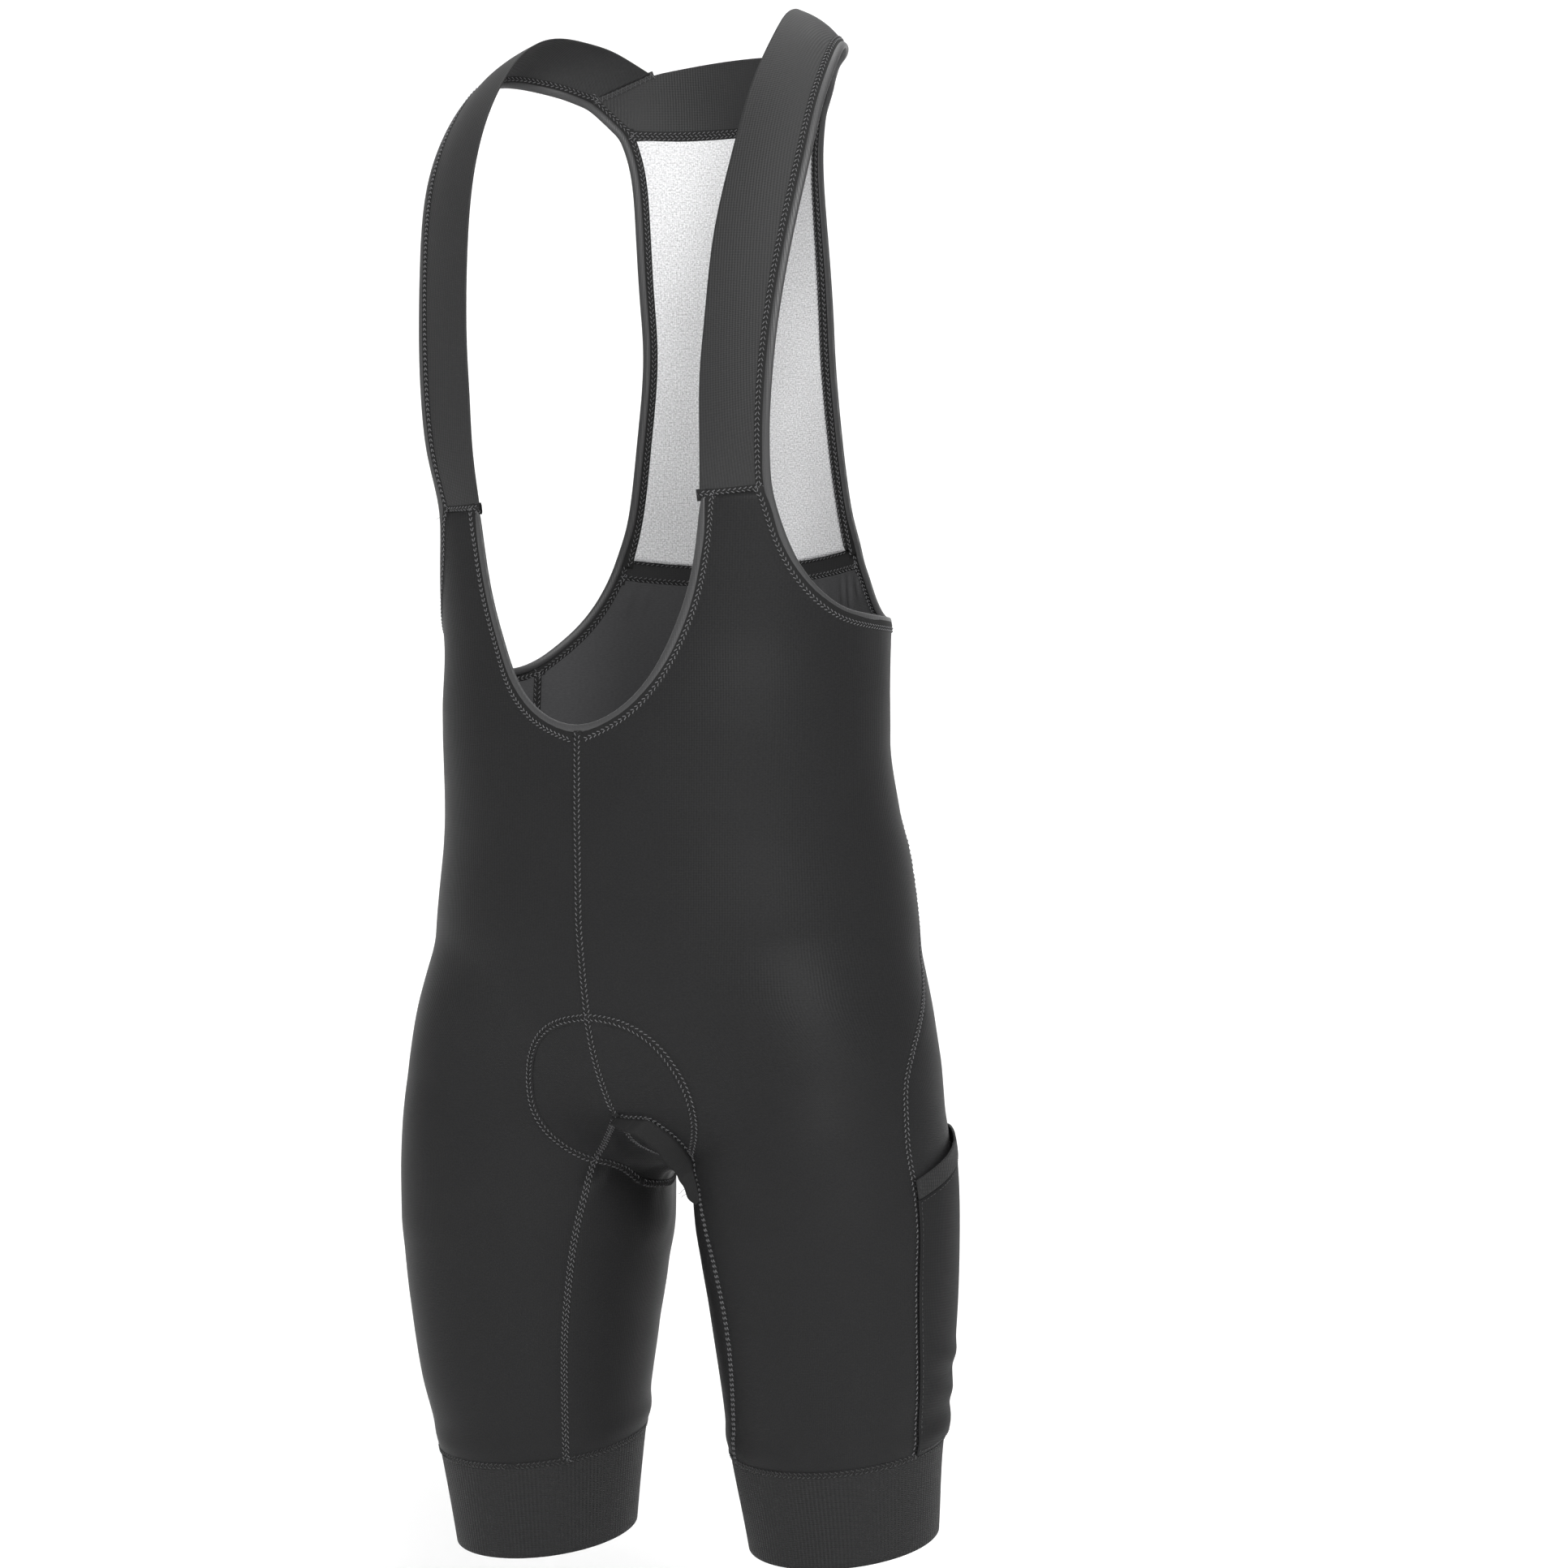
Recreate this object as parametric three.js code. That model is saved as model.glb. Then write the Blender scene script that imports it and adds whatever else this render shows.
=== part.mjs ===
// Cycling bib shorts in their worn form: stretch-knit shorts with elastic shoulder straps,
// a mesh back, gripper bands at the hems and a cargo pocket on each thigh.
// Millimetres. +Z is up, the front faces -Y and the wearer's left side is +X.
// The origin lies between the tops of the shoulder straps, where a wearer carries them.
import * as THREE from "three";

// Cloth and seams
const KNIT = 1.4;
const MESH_CLOTH = 1.2;
const ELASTIC = 1.8;
const POCKET_CLOTH = 1.2;
const SEAM_GAP = 0.3;
const BINDING_WIDTH = 5;
const BINDING_THICKNESS = 2.4;

// Levels of the main seams, measured down from the strap tops
const TAPE_TOP = -318;
const TAPE_BOTTOM = -329;
const TAPE_SPAN = 142;
const TAPE_BACK = 100;
const TAPE_SAG = 6;
const YOKE_BOTTOM = -51;
const NECK_BOTTOM = -437.5;
const WAIST_ROW = -470;

// Hems: each plane leans down towards the front
const HEM_LEAN = 0.23;
const HEM_SEAM = { left: -857, right: -864 };
const HEM_BOTTOM = { left: -915, right: -923 };

// Thigh pocket: its mouth rises towards the back
const POCKET_COLUMNS = 8;
const POCKET_MOUTH_FRONT = -711;
const POCKET_MOUTH_RISE = 30;
const POCKET_BAND_HEIGHT = 11;
const POCKET_STAND_OFF = 2.6;
const POCKET_RISE_END = 0.625;
const POCKET_ROWS = 9;
const POCKET_HUG_END = 0.45;

// Mesh back: a narrow dark strip edges it on the wearer's left
const STRIP_WIDTH = 6.5;

// The pad is sewn in from inside and lifts the cloth over it a little
const PAD_RELIEF = 1;
const PAD_EDGE = 6;
const PAD_MIDDLE = 10;

// How softly the thighs flow into the trunk
const BLEND = 30;

// Grid counts
const NECK_COLUMNS = 6;
const STRAP_SEAM_COLUMNS = 2;
const ARM_FRONT_COLUMNS = 8;
const ARM_BACK_COLUMNS = 4;
const TAPE_COLUMNS = 10;
const INNER_COLUMNS = 9;
const INNER_RELAX_ROUNDS = 8;
const ROWS_CHEST = 6;
const ROWS_TRUNK = 8;
const ROWS_LEG = 11;
const HEM_COLUMNS = 30;
const STRAP_ROWS = 24;
const STRAP_COLUMNS = 4;
const MESH_ROWS = 15;
const MESH_COLUMNS = 10;
const BINDING_SIDES = 8;

// A smooth curve through a column of values that never swings past them
function smoothThrough(keysDown, valuesDown) {
  const keys = [...keysDown].reverse();
  const values = [...valuesDown].reverse();
  const steps = keys.slice(1).map((key, n) => key - keys[n]);
  const rises = steps.map((step, n) => (values[n + 1] - values[n]) / step);
  const slopes = keys.map((_, n) => {
    if (n === 0) return rises[0];
    if (n === keys.length - 1) return rises[n - 1];
    if (rises[n - 1] * rises[n] <= 0) return 0;
    const near = 2 * steps[n] + steps[n - 1];
    const far = steps[n] + 2 * steps[n - 1];
    return (near + far) / (near / rises[n - 1] + far / rises[n]);
  });
  return (key) => {
    const held = Math.min(Math.max(key, keys[0]), keys[keys.length - 1]);
    let n = 0;
    while (n < steps.length - 1 && held > keys[n + 1]) n += 1;
    const t = (held - keys[n]) / steps[n];
    const left = (1 + 2 * t) * values[n] + t * steps[n] * slopes[n];
    const right = (3 - 2 * t) * values[n + 1] - (1 - t) * steps[n] * slopes[n + 1];
    return (1 - t) ** 2 * left + t ** 2 * right;
  };
}

// Turns a table, its first column falling, into one smooth function for each other column
function columns(names, rows) {
  const keys = rows.map((row) => row[0]);
  const entries = names.slice(1).map((name, n) => {
    const values = rows.map((row) => row[n + 1]);
    return [name, smoothThrough(keys, values)];
  });
  return Object.fromEntries(entries);
}

// The worn trunk: its half width, how far its front and back lie from the X axis, and how
// square the chest is, where 2 is an oval
const TRUNK_END = -704;
const TRUNK = columns(["z", "halfWidth", "front", "back", "square"], [
  [-280, 142, 105, 104, 3],
  [-303, 142, 105, 104, 3],
  [-330, 142, 104, 103, 2.8],
  [-350, 142, 104, 102, 2.65],
  [-380, 141.5, 105, 100, 2.4],
  [-422, 143, 110, 97, 2.2],
  [-440, 143, 111, 97, 2.15],
  [-481, 145.5, 111, 108, 2.05],
  [-510, 150.5, 110, 116, 2],
  [-545, 155.5, 109, 117, 2],
  [-580, 159, 104, 113, 2],
  [-606, 161, 98.5, 108, 2],
  [-629, 160, 90, 104, 2],
  [-652, 150, 76, 100, 2],
  [-664, 140, 66, 95, 2],
  [-680, 115, 45, 82, 2],
  [-692, 80, 18, 60, 2],
  [-700, 40, -4, 34, 2],
  [TRUNK_END, 4, -13, 17, 2],
]);

// The legs: how far the middle stands out and back, the diameter, and how oval the section is
const LEG_TOP = -540;
const LEG = columns(["z", "out", "back", "diameter", "oval"], [
  [LEG_TOP, 78, 0, 40, 1.05],
  [-560, 80, 0, 100, 1.05],
  [-580, 84, 1, 130, 1.05],
  [-606, 88, 1, 147, 1.05],
  [-629, 92, 2, 154, 1.05],
  [-652, 96, 4, 158, 1.05],
  [-678, 98, 6, 161, 1.05],
  [-703, 99, 8, 162.5, 1.05],
  [-728, 100, 10, 162, 1.05],
  [-752, 101.5, 12, 158, 1.045],
  [-777, 103, 13, 152, 1.04],
  [-826, 104, 15, 139, 1.03],
  [-862, 103, 18, 128, 1.01],
  [-920, 104, 25, 113, 1],
  [-945, 104, 27, 107, 1],
]);

// Half widths of the pad's sewn outline, in front of the crotch and behind it
const PAD = columns(["z", "front", "behind"], [
  [-598, 0, 0],
  [-600, 15, 20],
  [-604, 28, 34],
  [-610, 37, 50],
  [-620, 46, 60],
  [-631, 51.5, 66],
  [-646, 55.5, 68],
  [-658, 56, 66],
  [-670, 53, 60],
  [-681, 46, 50],
  [-690, 37, 38],
  [-698, 24, 26],
  [-712, 20, 20],
]);

// The back above the shorts: where its middle lies, and the half span of its oval section
const BACK_FORM = columns(["z", "middle", "span"], [
  [-5, 86, 99],
  [-12, 86.5, 100],
  [-33, 89, 102],
  [-51, 90, 99.5],
  [-69, 91, 99.5],
  [-92, 92, 102.5],
  [-148, 94, 119.5],
  [-184, 96, 132],
  [-250, 99, 133],
  [-301, 102.5, 137],
  [-332, 103.2, 141],
]);

// Finished half width of the back, with its binding
const BACK_WIDTH = columns(["z", "half"], [
  [-33, 90],
  [-41, 81],
  [-51, 75],
  [-69, 70.5],
  [-92, 69],
  [-148, 69.5],
  [-184, 69],
  [-250, 74.5],
  [-301, 82],
  [-323, 88],
  [-332, 91],
]);

// The yoke's top edge: a low dome across the neck, then falling where each strap joins it
const YOKE_NECK = 57;
const YOKE_CORNER = 86.4;
const YOKE_TOP = -5;
const YOKE_NECK_LEVEL = -12;
const YOKE_CORNER_LEVEL = -30.7;

// Finished edge of the neckline on the front: half width at each level
const NECKLINE = [
  [76, -303],
  [74.5, -325],
  [72, -345],
  [66, -365],
  [58.5, -381],
  [50, -398],
  [41, -412],
  [31, -422],
  [20, -431],
  [10, -436],
  [0, NECK_BOTTOM],
];

// Finished edge of each armhole: degrees round from the front, and the level on each side.
// The wearer's right hangs lower under the arm
const ARMHOLE = columns(["degrees", "left", "right"], [
  [132, -321.5, -325],
  [128, -337, -342],
  [122.5, -351.5, -359],
  [119.4, -361.5, -366],
  [115, -364, -374],
  [110, -366, -383],
  [104.7, -366.5, -390],
  [100.3, -367, -391],
  [95, -367.5, -388],
  [89.4, -368, -382],
  [81.7, -367.5, -375],
  [75.8, -367, -370],
  [70, -362, -364],
  [65.7, -354, -356],
  [61.5, -343, -345],
  [58.4, -330, -332],
  [55.8, -315, -317],
  [54, -299, -301],
]);
const ARM_FRONT = 54;
const UNDERARM = 110;
const ARM_BACK = 132;

// Side seam, x y z on the wearer's left
const SIDE_SEAM = [
  [134, 50, -440],
  [140, 50, -500],
  [152, 38, -550],
  [162, 17, -587],
  [169, -10, -618],
  [170, -25, -643],
  [174, -28, -688],
  [177, -22, -709],
  [174, -18, -768],
  [169, -9, -815],
  [165, -1, -860],
];
const SIDE_SEAM_HIP_ROW = 5;

// Inner leg seams from the crotch to the hem, x y z with x measured outwards
const INNER_FRONT = {
  left: [
    [0, -66, -664],
    [13, -63, -666],
    [25, -64, -665],
    [37, -51, -678],
    [43, -41, -698],
    [50, -46, -714],
    [57, -48, -738],
    [63, -48, -766],
    [66, -47, -800],
    [60, -28, -862],
  ],
  right: [
    [0, -66, -664],
    [9, -56, -671],
    [18, -46, -679],
    [32, -34, -692],
    [41, -36, -710],
    [47, -38, -737],
    [50, -38, -766],
    [54, -36, -796],
    [58, -30, -830],
    [60, -25, -868],
  ],
};
const INNER_BACK = [
  [0, 95, -664],
  [16, 90, -671],
  [31, 78, -684],
  [43, 68, -702],
  [50, 70, -735],
  [57, 72, -777],
  [63, 66, -826],
  [68, 64, -866],
];

// The crotch line, y z in the middle plane, from the front seam to the back seam
const CROTCH = [
  [-66, -664],
  [-45, -680],
  [-18, -692],
  [15, -704],
  [60, -692],
  [82, -680],
  [95, -664],
];

// Strap sections from the front seam over the shoulder to the yoke: x y z of the neck edge,
// then of the finished arm edge, and how far the middle is crowned
const STRAP = [
  [78, -104, -270, 118, -93, -268, 1.5],
  [79, -106, -235, 121, -95, -235, 1.5],
  [82, -105, -200, 124, -93, -201, 1.5],
  [85, -100, -150, 129, -85, -154, 1.8],
  [90, -86, -100, 134, -73, -108, 2.2],
  [91.5, -67, -58, 134, -57, -72, 2.6],
  [91.5, -38, -22, 131, -29, -37, 3],
  [88, -16, -5, 126, -12, -28, 3],
  [84, 6, 2, 120, 4, -25, 3],
  [77, 25, 2, 111, 20, -26, 2.6],
  [68, 46, -1, 100, 31, -29, 2.2],
];

// Colours
const CLOTH_BLACK = { color: 0x1f1f21, roughness: 0.62 };
const POCKET_BLACK = { color: 0x262628, roughness: 0.7 };
const ELASTIC_BLACK = { color: 0x17171a, roughness: 0.75 };
const MESH_GREY = { color: 0xb4b4b8, roughness: 0.8 };
const BINDING_GREY = { color: 0x38383b, roughness: 0.6 };

const LEFT = { name: "left", sign: 1 };
const RIGHT = { name: "right", sign: -1 };

const mix = (a, b, t) => a + (b - a) * t;
const clamp01 = (t) => Math.min(Math.max(t, 0), 1);
const ease = (t) => clamp01(t) ** 2 * (3 - 2 * clamp01(t));
const vec = (x, y, z) => new THREE.Vector3(x, y, z);

// Distance to an oval in its own plane, near enough close to its line
function ovalDistance(x, y, halfX, halfY, square = 2) {
  const along = Math.abs(x / halfX) ** square;
  const across = Math.abs(y / halfY) ** square;
  const scaled = (along + across) ** (1 / square);
  const slope = Math.hypot(x / halfX ** 2, y / halfY ** 2) + 1e-9;
  return (scaled * (scaled - 1)) / slope;
}

function softUnion(a, b) {
  const overlap = Math.max(BLEND - Math.abs(a - b), 0) / BLEND;
  return Math.min(a, b) - (overlap ** 2 * BLEND) / 4;
}

function padLift(p) {
  const half = p.y < PAD_MIDDLE ? PAD.front(p.z) : PAD.behind(p.z);
  return PAD_RELIEF * ease((half - Math.abs(p.x)) / PAD_EDGE + 0.5);
}

// Distance from the worn body: the trunk and two legs, joined softly
function bodyDistance(p) {
  const front = TRUNK.front(p.z);
  const back = TRUNK.back(p.z);
  const behindMiddle = p.y - (back - front) / 2;
  const square = behindMiddle < 0 ? TRUNK.square(p.z) : 2;
  const depth = (back + front) / 2;
  const trunk = ovalDistance(p.x, behindMiddle, TRUNK.halfWidth(p.z), depth, square);
  let distance = trunk + Math.max(TRUNK_END - p.z, 0);
  for (const { sign } of [LEFT, RIGHT]) {
    const out = sign * p.x - LEG.out(p.z);
    const behind = p.y - LEG.back(p.z);
    const radius = LEG.diameter(p.z) / 2;
    const oval = LEG.oval(p.z);
    const along = (out - behind) * Math.SQRT1_2;
    const across = (out + behind) * Math.SQRT1_2;
    const leg = ovalDistance(along, across, radius * oval, radius / oval);
    distance = softUnion(distance, leg + Math.max(p.z - LEG_TOP, 0));
  }
  return distance - padLift(p);
}

// Slope of the distance; on the middle plane it has no sideways part
function bodyGradient(p) {
  const reach = 0.5;
  const slope = (axis) => {
    const ahead = p.clone();
    const behind = p.clone();
    ahead[axis] += reach;
    behind[axis] -= reach;
    return (bodyDistance(ahead) - bodyDistance(behind)) / (2 * reach);
  };
  const sideways = Math.abs(p.x) < 1e-6 ? 0 : slope("x");
  return vec(sideways, slope("y"), slope("z"));
}

const bodyNormal = (p) => bodyGradient(p).normalize();

// Moves a point straight onto the body's surface
function settle(point) {
  const p = point.clone();
  for (let n = 0; n < 25; n += 1) {
    const gradient = bodyGradient(p);
    const step = bodyDistance(p) / gradient.lengthSq();
    p.addScaledVector(gradient, -step);
    if (Math.abs(step) < 1e-5) break;
  }
  return p;
}

// The line that rays start from: the middle of the trunk, turning into the middle of a leg
function spine(side, z) {
  const into = ease((-590 - z) / 100);
  return vec(side.sign * LEG.out(z) * into, LEG.back(z) * into, z);
}

// The surface point at a number of degrees round from the front, at one level
function onBody(side, degrees, z) {
  const start = spine(side, z);
  const turn = THREE.MathUtils.degToRad(degrees);
  const direction = vec(side.sign * Math.sin(turn), -Math.cos(turn), 0);
  const at = (reach) => start.clone().addScaledVector(direction, reach);
  let inside = 0;
  let outside = 6;
  while (bodyDistance(at(outside)) < 0) {
    inside = outside;
    outside += 6;
  }
  for (let n = 0; n < 30; n += 1) {
    const middle = (inside + outside) / 2;
    if (bodyDistance(at(middle)) < 0) inside = middle;
    else outside = middle;
  }
  return at(outside);
}

function degreesRound(side, p) {
  const start = spine(side, p.z);
  const turn = Math.atan2(side.sign * (p.x - start.x), -(p.y - start.y));
  return THREE.MathUtils.radToDeg(turn);
}

// A line on the body through points, read at evenly spaced stations from one share to another
function lineOnBody(points) {
  const curve = new THREE.CatmullRomCurve3(points.map(settle), false, "centripetal");
  curve.arcLengthDivisions = 400;
  return (share) => settle(curve.getPointAt(clamp01(share)));
}

const stations = (count) => Array.from({ length: count + 1 }, (_, n) => n / count);
const mirrored = (side, rows) => rows.map(([x, y, z]) => vec(side.sign * x, y, z));

// A level that leans with the hem's plane
function hemPoint(side, degrees, middleLevel) {
  let p = onBody(side, degrees, middleLevel);
  for (let n = 0; n < 8; n += 1) {
    const lean = HEM_LEAN * (p.y - LEG.back(middleLevel));
    p = onBody(side, degrees, middleLevel + lean);
  }
  return p;
}

// Brings a line's last point down or up to the hem seam
function endAtHemSeam(side, p) {
  return hemPoint(side, degreesRound(side, p), HEM_SEAM[side.name]);
}

// Places inside the openings, which tell one side of an edge from the other
const neckHollow = vec(0, -105, -340);
const armHollow = (side) => vec(side.sign * 150, 0, -230);

// The finished edge moved into the cloth, to leave room for the binding
function clothEdge(line, share, hollow) {
  const p = line(share);
  const ahead = line(clamp01(share + 0.01));
  const behind = line(clamp01(share - 0.01));
  const along = ahead.sub(behind).normalize();
  const across = bodyNormal(p).cross(along).normalize();
  if (across.dot(hollow.clone().sub(p)) > 0) across.negate();
  return settle(p.addScaledVector(across, BINDING_WIDTH + SEAM_GAP));
}

// Finished edges that the panels share
function necklineOf(side) {
  return lineOnBody(NECKLINE.map(([x, z]) => {
    const degrees = degreesRound(side, vec(side.sign * x, -100, z));
    return onBody(side, degrees, z);
  }));
}

function armholeOf(side, from, to) {
  const level = ARMHOLE[side.name];
  return lineOnBody(stations(14).map((share) => {
    const degrees = mix(from, to, share);
    return onBody(side, degrees, level(degrees));
  }));
}

function sideSeamTop(side) {
  const armhole = armholeOf(side, ARM_FRONT, ARM_BACK);
  let share = 0.5;
  for (let step = 0.25; step > 1e-4; step /= 2) {
    share += degreesRound(side, clothEdge(armhole, share, armHollow(side))) < UNDERARM ? step : -step;
  }
  return { p: clothEdge(armhole, share, armHollow(side)), share, armhole };
}

// The side seam in three stretches: to the waist row, to the hip and to the hem
function sideSeamOf(side) {
  const rows = mirrored(side, SIDE_SEAM);
  const end = endAtHemSeam(side, rows[rows.length - 1]);
  const hip = SIDE_SEAM_HIP_ROW;
  const upper = lineOnBody([sideSeamTop(side).p, ...rows.slice(0, hip + 1)]);
  let waist = 0.3;
  for (let step = 0.15; step > 1e-4; step /= 2) {
    waist += upper(waist).z > WAIST_ROW ? step : -step;
  }
  return {
    chest: (share) => upper(share * waist),
    trunk: (share) => upper(mix(waist, 1, share)),
    leg: lineOnBody([...rows.slice(hip, -1), end]),
  };
}

function innerSeamOf(side, rows) {
  const points = mirrored(side, rows);
  return lineOnBody([...points.slice(0, -1), endAtHemSeam(side, points[points.length - 1])]);
}

const crotchLine = lineOnBody(CROTCH.map(([y, z]) => vec(0, y, z)));

// A stretch of the middle seam at the front or the back, by level
function middleLine(zTop, zBottom, degrees) {
  return (share) => {
    const p = onBody(LEFT, degrees, mix(zTop, zBottom, share));
    p.x = 0;
    return p;
  };
}

// Degrees round and level of a point; behind, degrees run on past 180
function placeOf(side, p, behind) {
  const degrees = degreesRound(side, p);
  return [behind && degrees < 0 ? degrees + 360 : degrees, p.z];
}

// The panel points of one row, between two points on the body
function rowBetween(side, first, last, count, behind) {
  const start = placeOf(side, first, behind);
  const end = placeOf(side, last, behind);
  const row = stations(count).map((share) =>
    onBody(side, mix(start[0], end[0], share), mix(start[1], end[1], share)),
  );
  row[0] = first;
  row[count] = last;
  return row;
}

// Rows from a shaped top edge down to the waist row, between two side lines
function rowsBelowEdge(side, edge, first, last, behind) {
  const count = edge.length - 1;
  const waist = rowBetween(side, first(1), last(1), count, behind);
  const places = (row) => row.map((p) => placeOf(side, p, behind));
  const top = places(edge);
  const low = places(waist);
  return stations(ROWS_CHEST).map((down) => {
    if (down === 0) return edge;
    if (down === 1) return waist;
    const ends = places([first(down), last(down)]);
    const row = stations(count).map((share, i) => {
      const [degrees, z] = [0, 1].map((k) => {
        const between = mix(top[i][k], low[i][k], down);
        const firstOff = ends[0][k] - mix(top[0][k], low[0][k], down);
        const lastOff = ends[1][k] - mix(top[count][k], low[count][k], down);
        return between + firstOff * (1 - share) + lastOff * share;
      });
      return onBody(side, degrees, z);
    });
    row[0] = first(down);
    row[count] = last(down);
    return row;
  });
}

// Rows between two lines, leaving out the first, which the stretch above has
function rowsBetween(side, first, last, rowCount, columnCount, behind) {
  return stations(rowCount)
    .slice(1)
    .map((down) => rowBetween(side, first(down), last(down), columnCount, behind));
}

// Lays a row's points onto the plane of the hem seam
function hemRow(side, row) {
  return row.map((p) => hemPoint(side, degreesRound(side, p), HEM_SEAM[side.name]));
}

// Top edge of a front panel: round the neckline, across the strap seam, round the armhole
function frontEdge(side) {
  const neckline = necklineOf(side);
  const { armhole, share: underarm, p: seamTop } = sideSeamTop(side);
  const neckEnd = settle(vec(0, -111, NECK_BOTTOM - BINDING_WIDTH - SEAM_GAP));
  const neck = stations(NECK_COLUMNS).map((share) =>
    share === 0 ? neckEnd : clothEdge(neckline, 1 - share, neckHollow),
  );
  const arm = stations(ARM_FRONT_COLUMNS).map((share) =>
    share === 1 ? seamTop : clothEdge(armhole, share * underarm, armHollow(side)),
  );
  const seam = rowBetween(side, neck[NECK_COLUMNS], arm[0], STRAP_SEAM_COLUMNS, false);
  return [...neck, ...seam.slice(1), ...arm.slice(1)];
}

function frontPoints(side) {
  const edge = frontEdge(side);
  const count = edge.length - 1;
  const seam = sideSeamOf(side);
  const inner = innerSeamOf(side, INNER_FRONT[side.name]);
  const chest = middleLine(edge[0].z, WAIST_ROW, 0);
  const belly = lineOnBody(stations(10).map((share) => {
    const z = mix(WAIST_ROW, CROTCH[0][1], share);
    return vec(0, -TRUNK.front(z), z);
  }));
  const rows = [
    ...rowsBelowEdge(side, edge, chest, seam.chest, false),
    ...rowsBetween(side, belly, seam.trunk, ROWS_TRUNK, count, false),
    ...rowsBetween(side, inner, seam.leg, ROWS_LEG, count, false),
  ];
  rows[rows.length - 1] = hemRow(side, rows[rows.length - 1]);
  return rows;
}

// The tape's lines sag a little towards the middle of the back
const tapeLevel = (z, share) => z - TAPE_SAG * (1 - share ** 2);

function tapePoint(z, share) {
  const half = BACK_WIDTH.half(z) - BINDING_WIDTH - SEAM_GAP;
  const level = tapeLevel(z, share);
  const across = (share * half) / TAPE_SPAN;
  const guess = vec(share * half, TAPE_BACK * Math.sqrt(1 - across ** 2), level);
  return onBody(LEFT, degreesRound(LEFT, guess), level);
}

// Top edge of a back panel: up the armhole from the side seam, then along the tape
function backEdge(side) {
  const { armhole, share: underarm, p: seamTop } = sideSeamTop(side);
  const corner = tapePoint(TAPE_BOTTOM, side.sign);
  const arm = stations(ARM_BACK_COLUMNS).map((share) =>
    clothEdge(armhole, mix(underarm, 1, share), armHollow(side)),
  );
  arm[0] = seamTop;
  arm[ARM_BACK_COLUMNS] = corner;
  const tape = stations(TAPE_COLUMNS).slice(1).map((share) =>
    tapePoint(TAPE_BOTTOM, side.sign * (1 - share)),
  );
  tape[TAPE_COLUMNS - 1].x = 0;
  return [...arm, ...tape];
}

function backPoints(side) {
  const edge = backEdge(side);
  const count = edge.length - 1;
  const seam = sideSeamOf(side);
  const inner = innerSeamOf(side, INNER_BACK);
  const small = middleLine(edge[count].z, WAIST_ROW, 180);
  const seat = lineOnBody(stations(10).map((share) => {
    const z = mix(WAIST_ROW, CROTCH[CROTCH.length - 1][1], share);
    return vec(0, TRUNK.back(z), z);
  }));
  const rows = [
    ...rowsBelowEdge(side, edge, seam.chest, small, true),
    ...rowsBetween(side, seam.trunk, seat, ROWS_TRUNK, count, true),
    ...rowsBetween(side, seam.leg, inner, ROWS_LEG, count, true),
  ];
  rows[rows.length - 1] = hemRow(side, rows[rows.length - 1]);
  return rows;
}

// Inner leg panel: a patch between the crotch line, two leg seams and the hem, laid on the body
function innerPoints(side) {
  const frontSeam = innerSeamOf(side, INNER_FRONT[side.name]);
  const backSeam = innerSeamOf(side, INNER_BACK);
  const start = degreesRound(side, frontSeam(1));
  const end = degreesRound(side, backSeam(1));
  const hem = (share) => hemPoint(side, mix(start, end, share), HEM_SEAM[side.name]);
  const patch = stations(ROWS_LEG).map((down) =>
    stations(INNER_COLUMNS).map((share) => {
      if (down === 0) return crotchLine(share);
      if (share === 0) return frontSeam(down);
      if (share === 1) return backSeam(down);
      if (down === 1) return hem(share);
      const point = vec(0, 0, 0);
      point.addScaledVector(crotchLine(share), 1 - down);
      point.addScaledVector(hem(share), down);
      point.addScaledVector(frontSeam(down), 1 - share);
      point.addScaledVector(backSeam(down), share);
      point.addScaledVector(crotchLine(0), -(1 - share) * (1 - down));
      point.addScaledVector(crotchLine(1), -share * (1 - down));
      point.addScaledVector(hem(0), -(1 - share) * down);
      point.addScaledVector(hem(1), -share * down);
      return settle(point);
    }),
  );
  return relaxed(patch, INNER_RELAX_ROUNDS);
}

// Evens out a patch's inner points, each moved to the middle of its four neighbours
function relaxed(patch, rounds) {
  let grid = patch;
  for (let round = 0; round < rounds; round += 1) {
    const before = grid;
    grid = before.map((row, j) =>
      row.map((point, i) => {
        const edge = j === 0 || i === 0 || j === before.length - 1 || i === row.length - 1;
        if (edge) return point;
        const middle = row[i - 1].clone().add(row[i + 1]);
        middle.add(before[j - 1][i]).add(before[j + 1][i]);
        return settle(middle.multiplyScalar(1 / 4));
      }),
    );
  }
  return grid;
}

function hemBandPoints(side) {
  const turns = stations(HEM_COLUMNS).slice(0, -1).map((share) => 360 * share);
  const levels = stations(4).map((share) =>
    mix(HEM_SEAM[side.name], HEM_BOTTOM[side.name], share),
  );
  return levels.map((level) => turns.map((turn) => hemPoint(side, turn, level)));
}

// A point of the back above the shorts
function backPoint(x, z) {
  const share = Math.min(Math.abs(x) / BACK_FORM.span(z), 1);
  return vec(x, BACK_FORM.middle(z) * Math.sqrt(1 - share ** 2), z);
}

function yokeTop(x) {
  const down = clamp01((Math.abs(x) - YOKE_NECK) / (YOKE_CORNER - YOKE_NECK));
  const dome = mix(YOKE_TOP, YOKE_NECK_LEVEL, clamp01(Math.abs(x) / YOKE_NECK) ** 2);
  return mix(dome, YOKE_CORNER_LEVEL, down);
}

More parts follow.
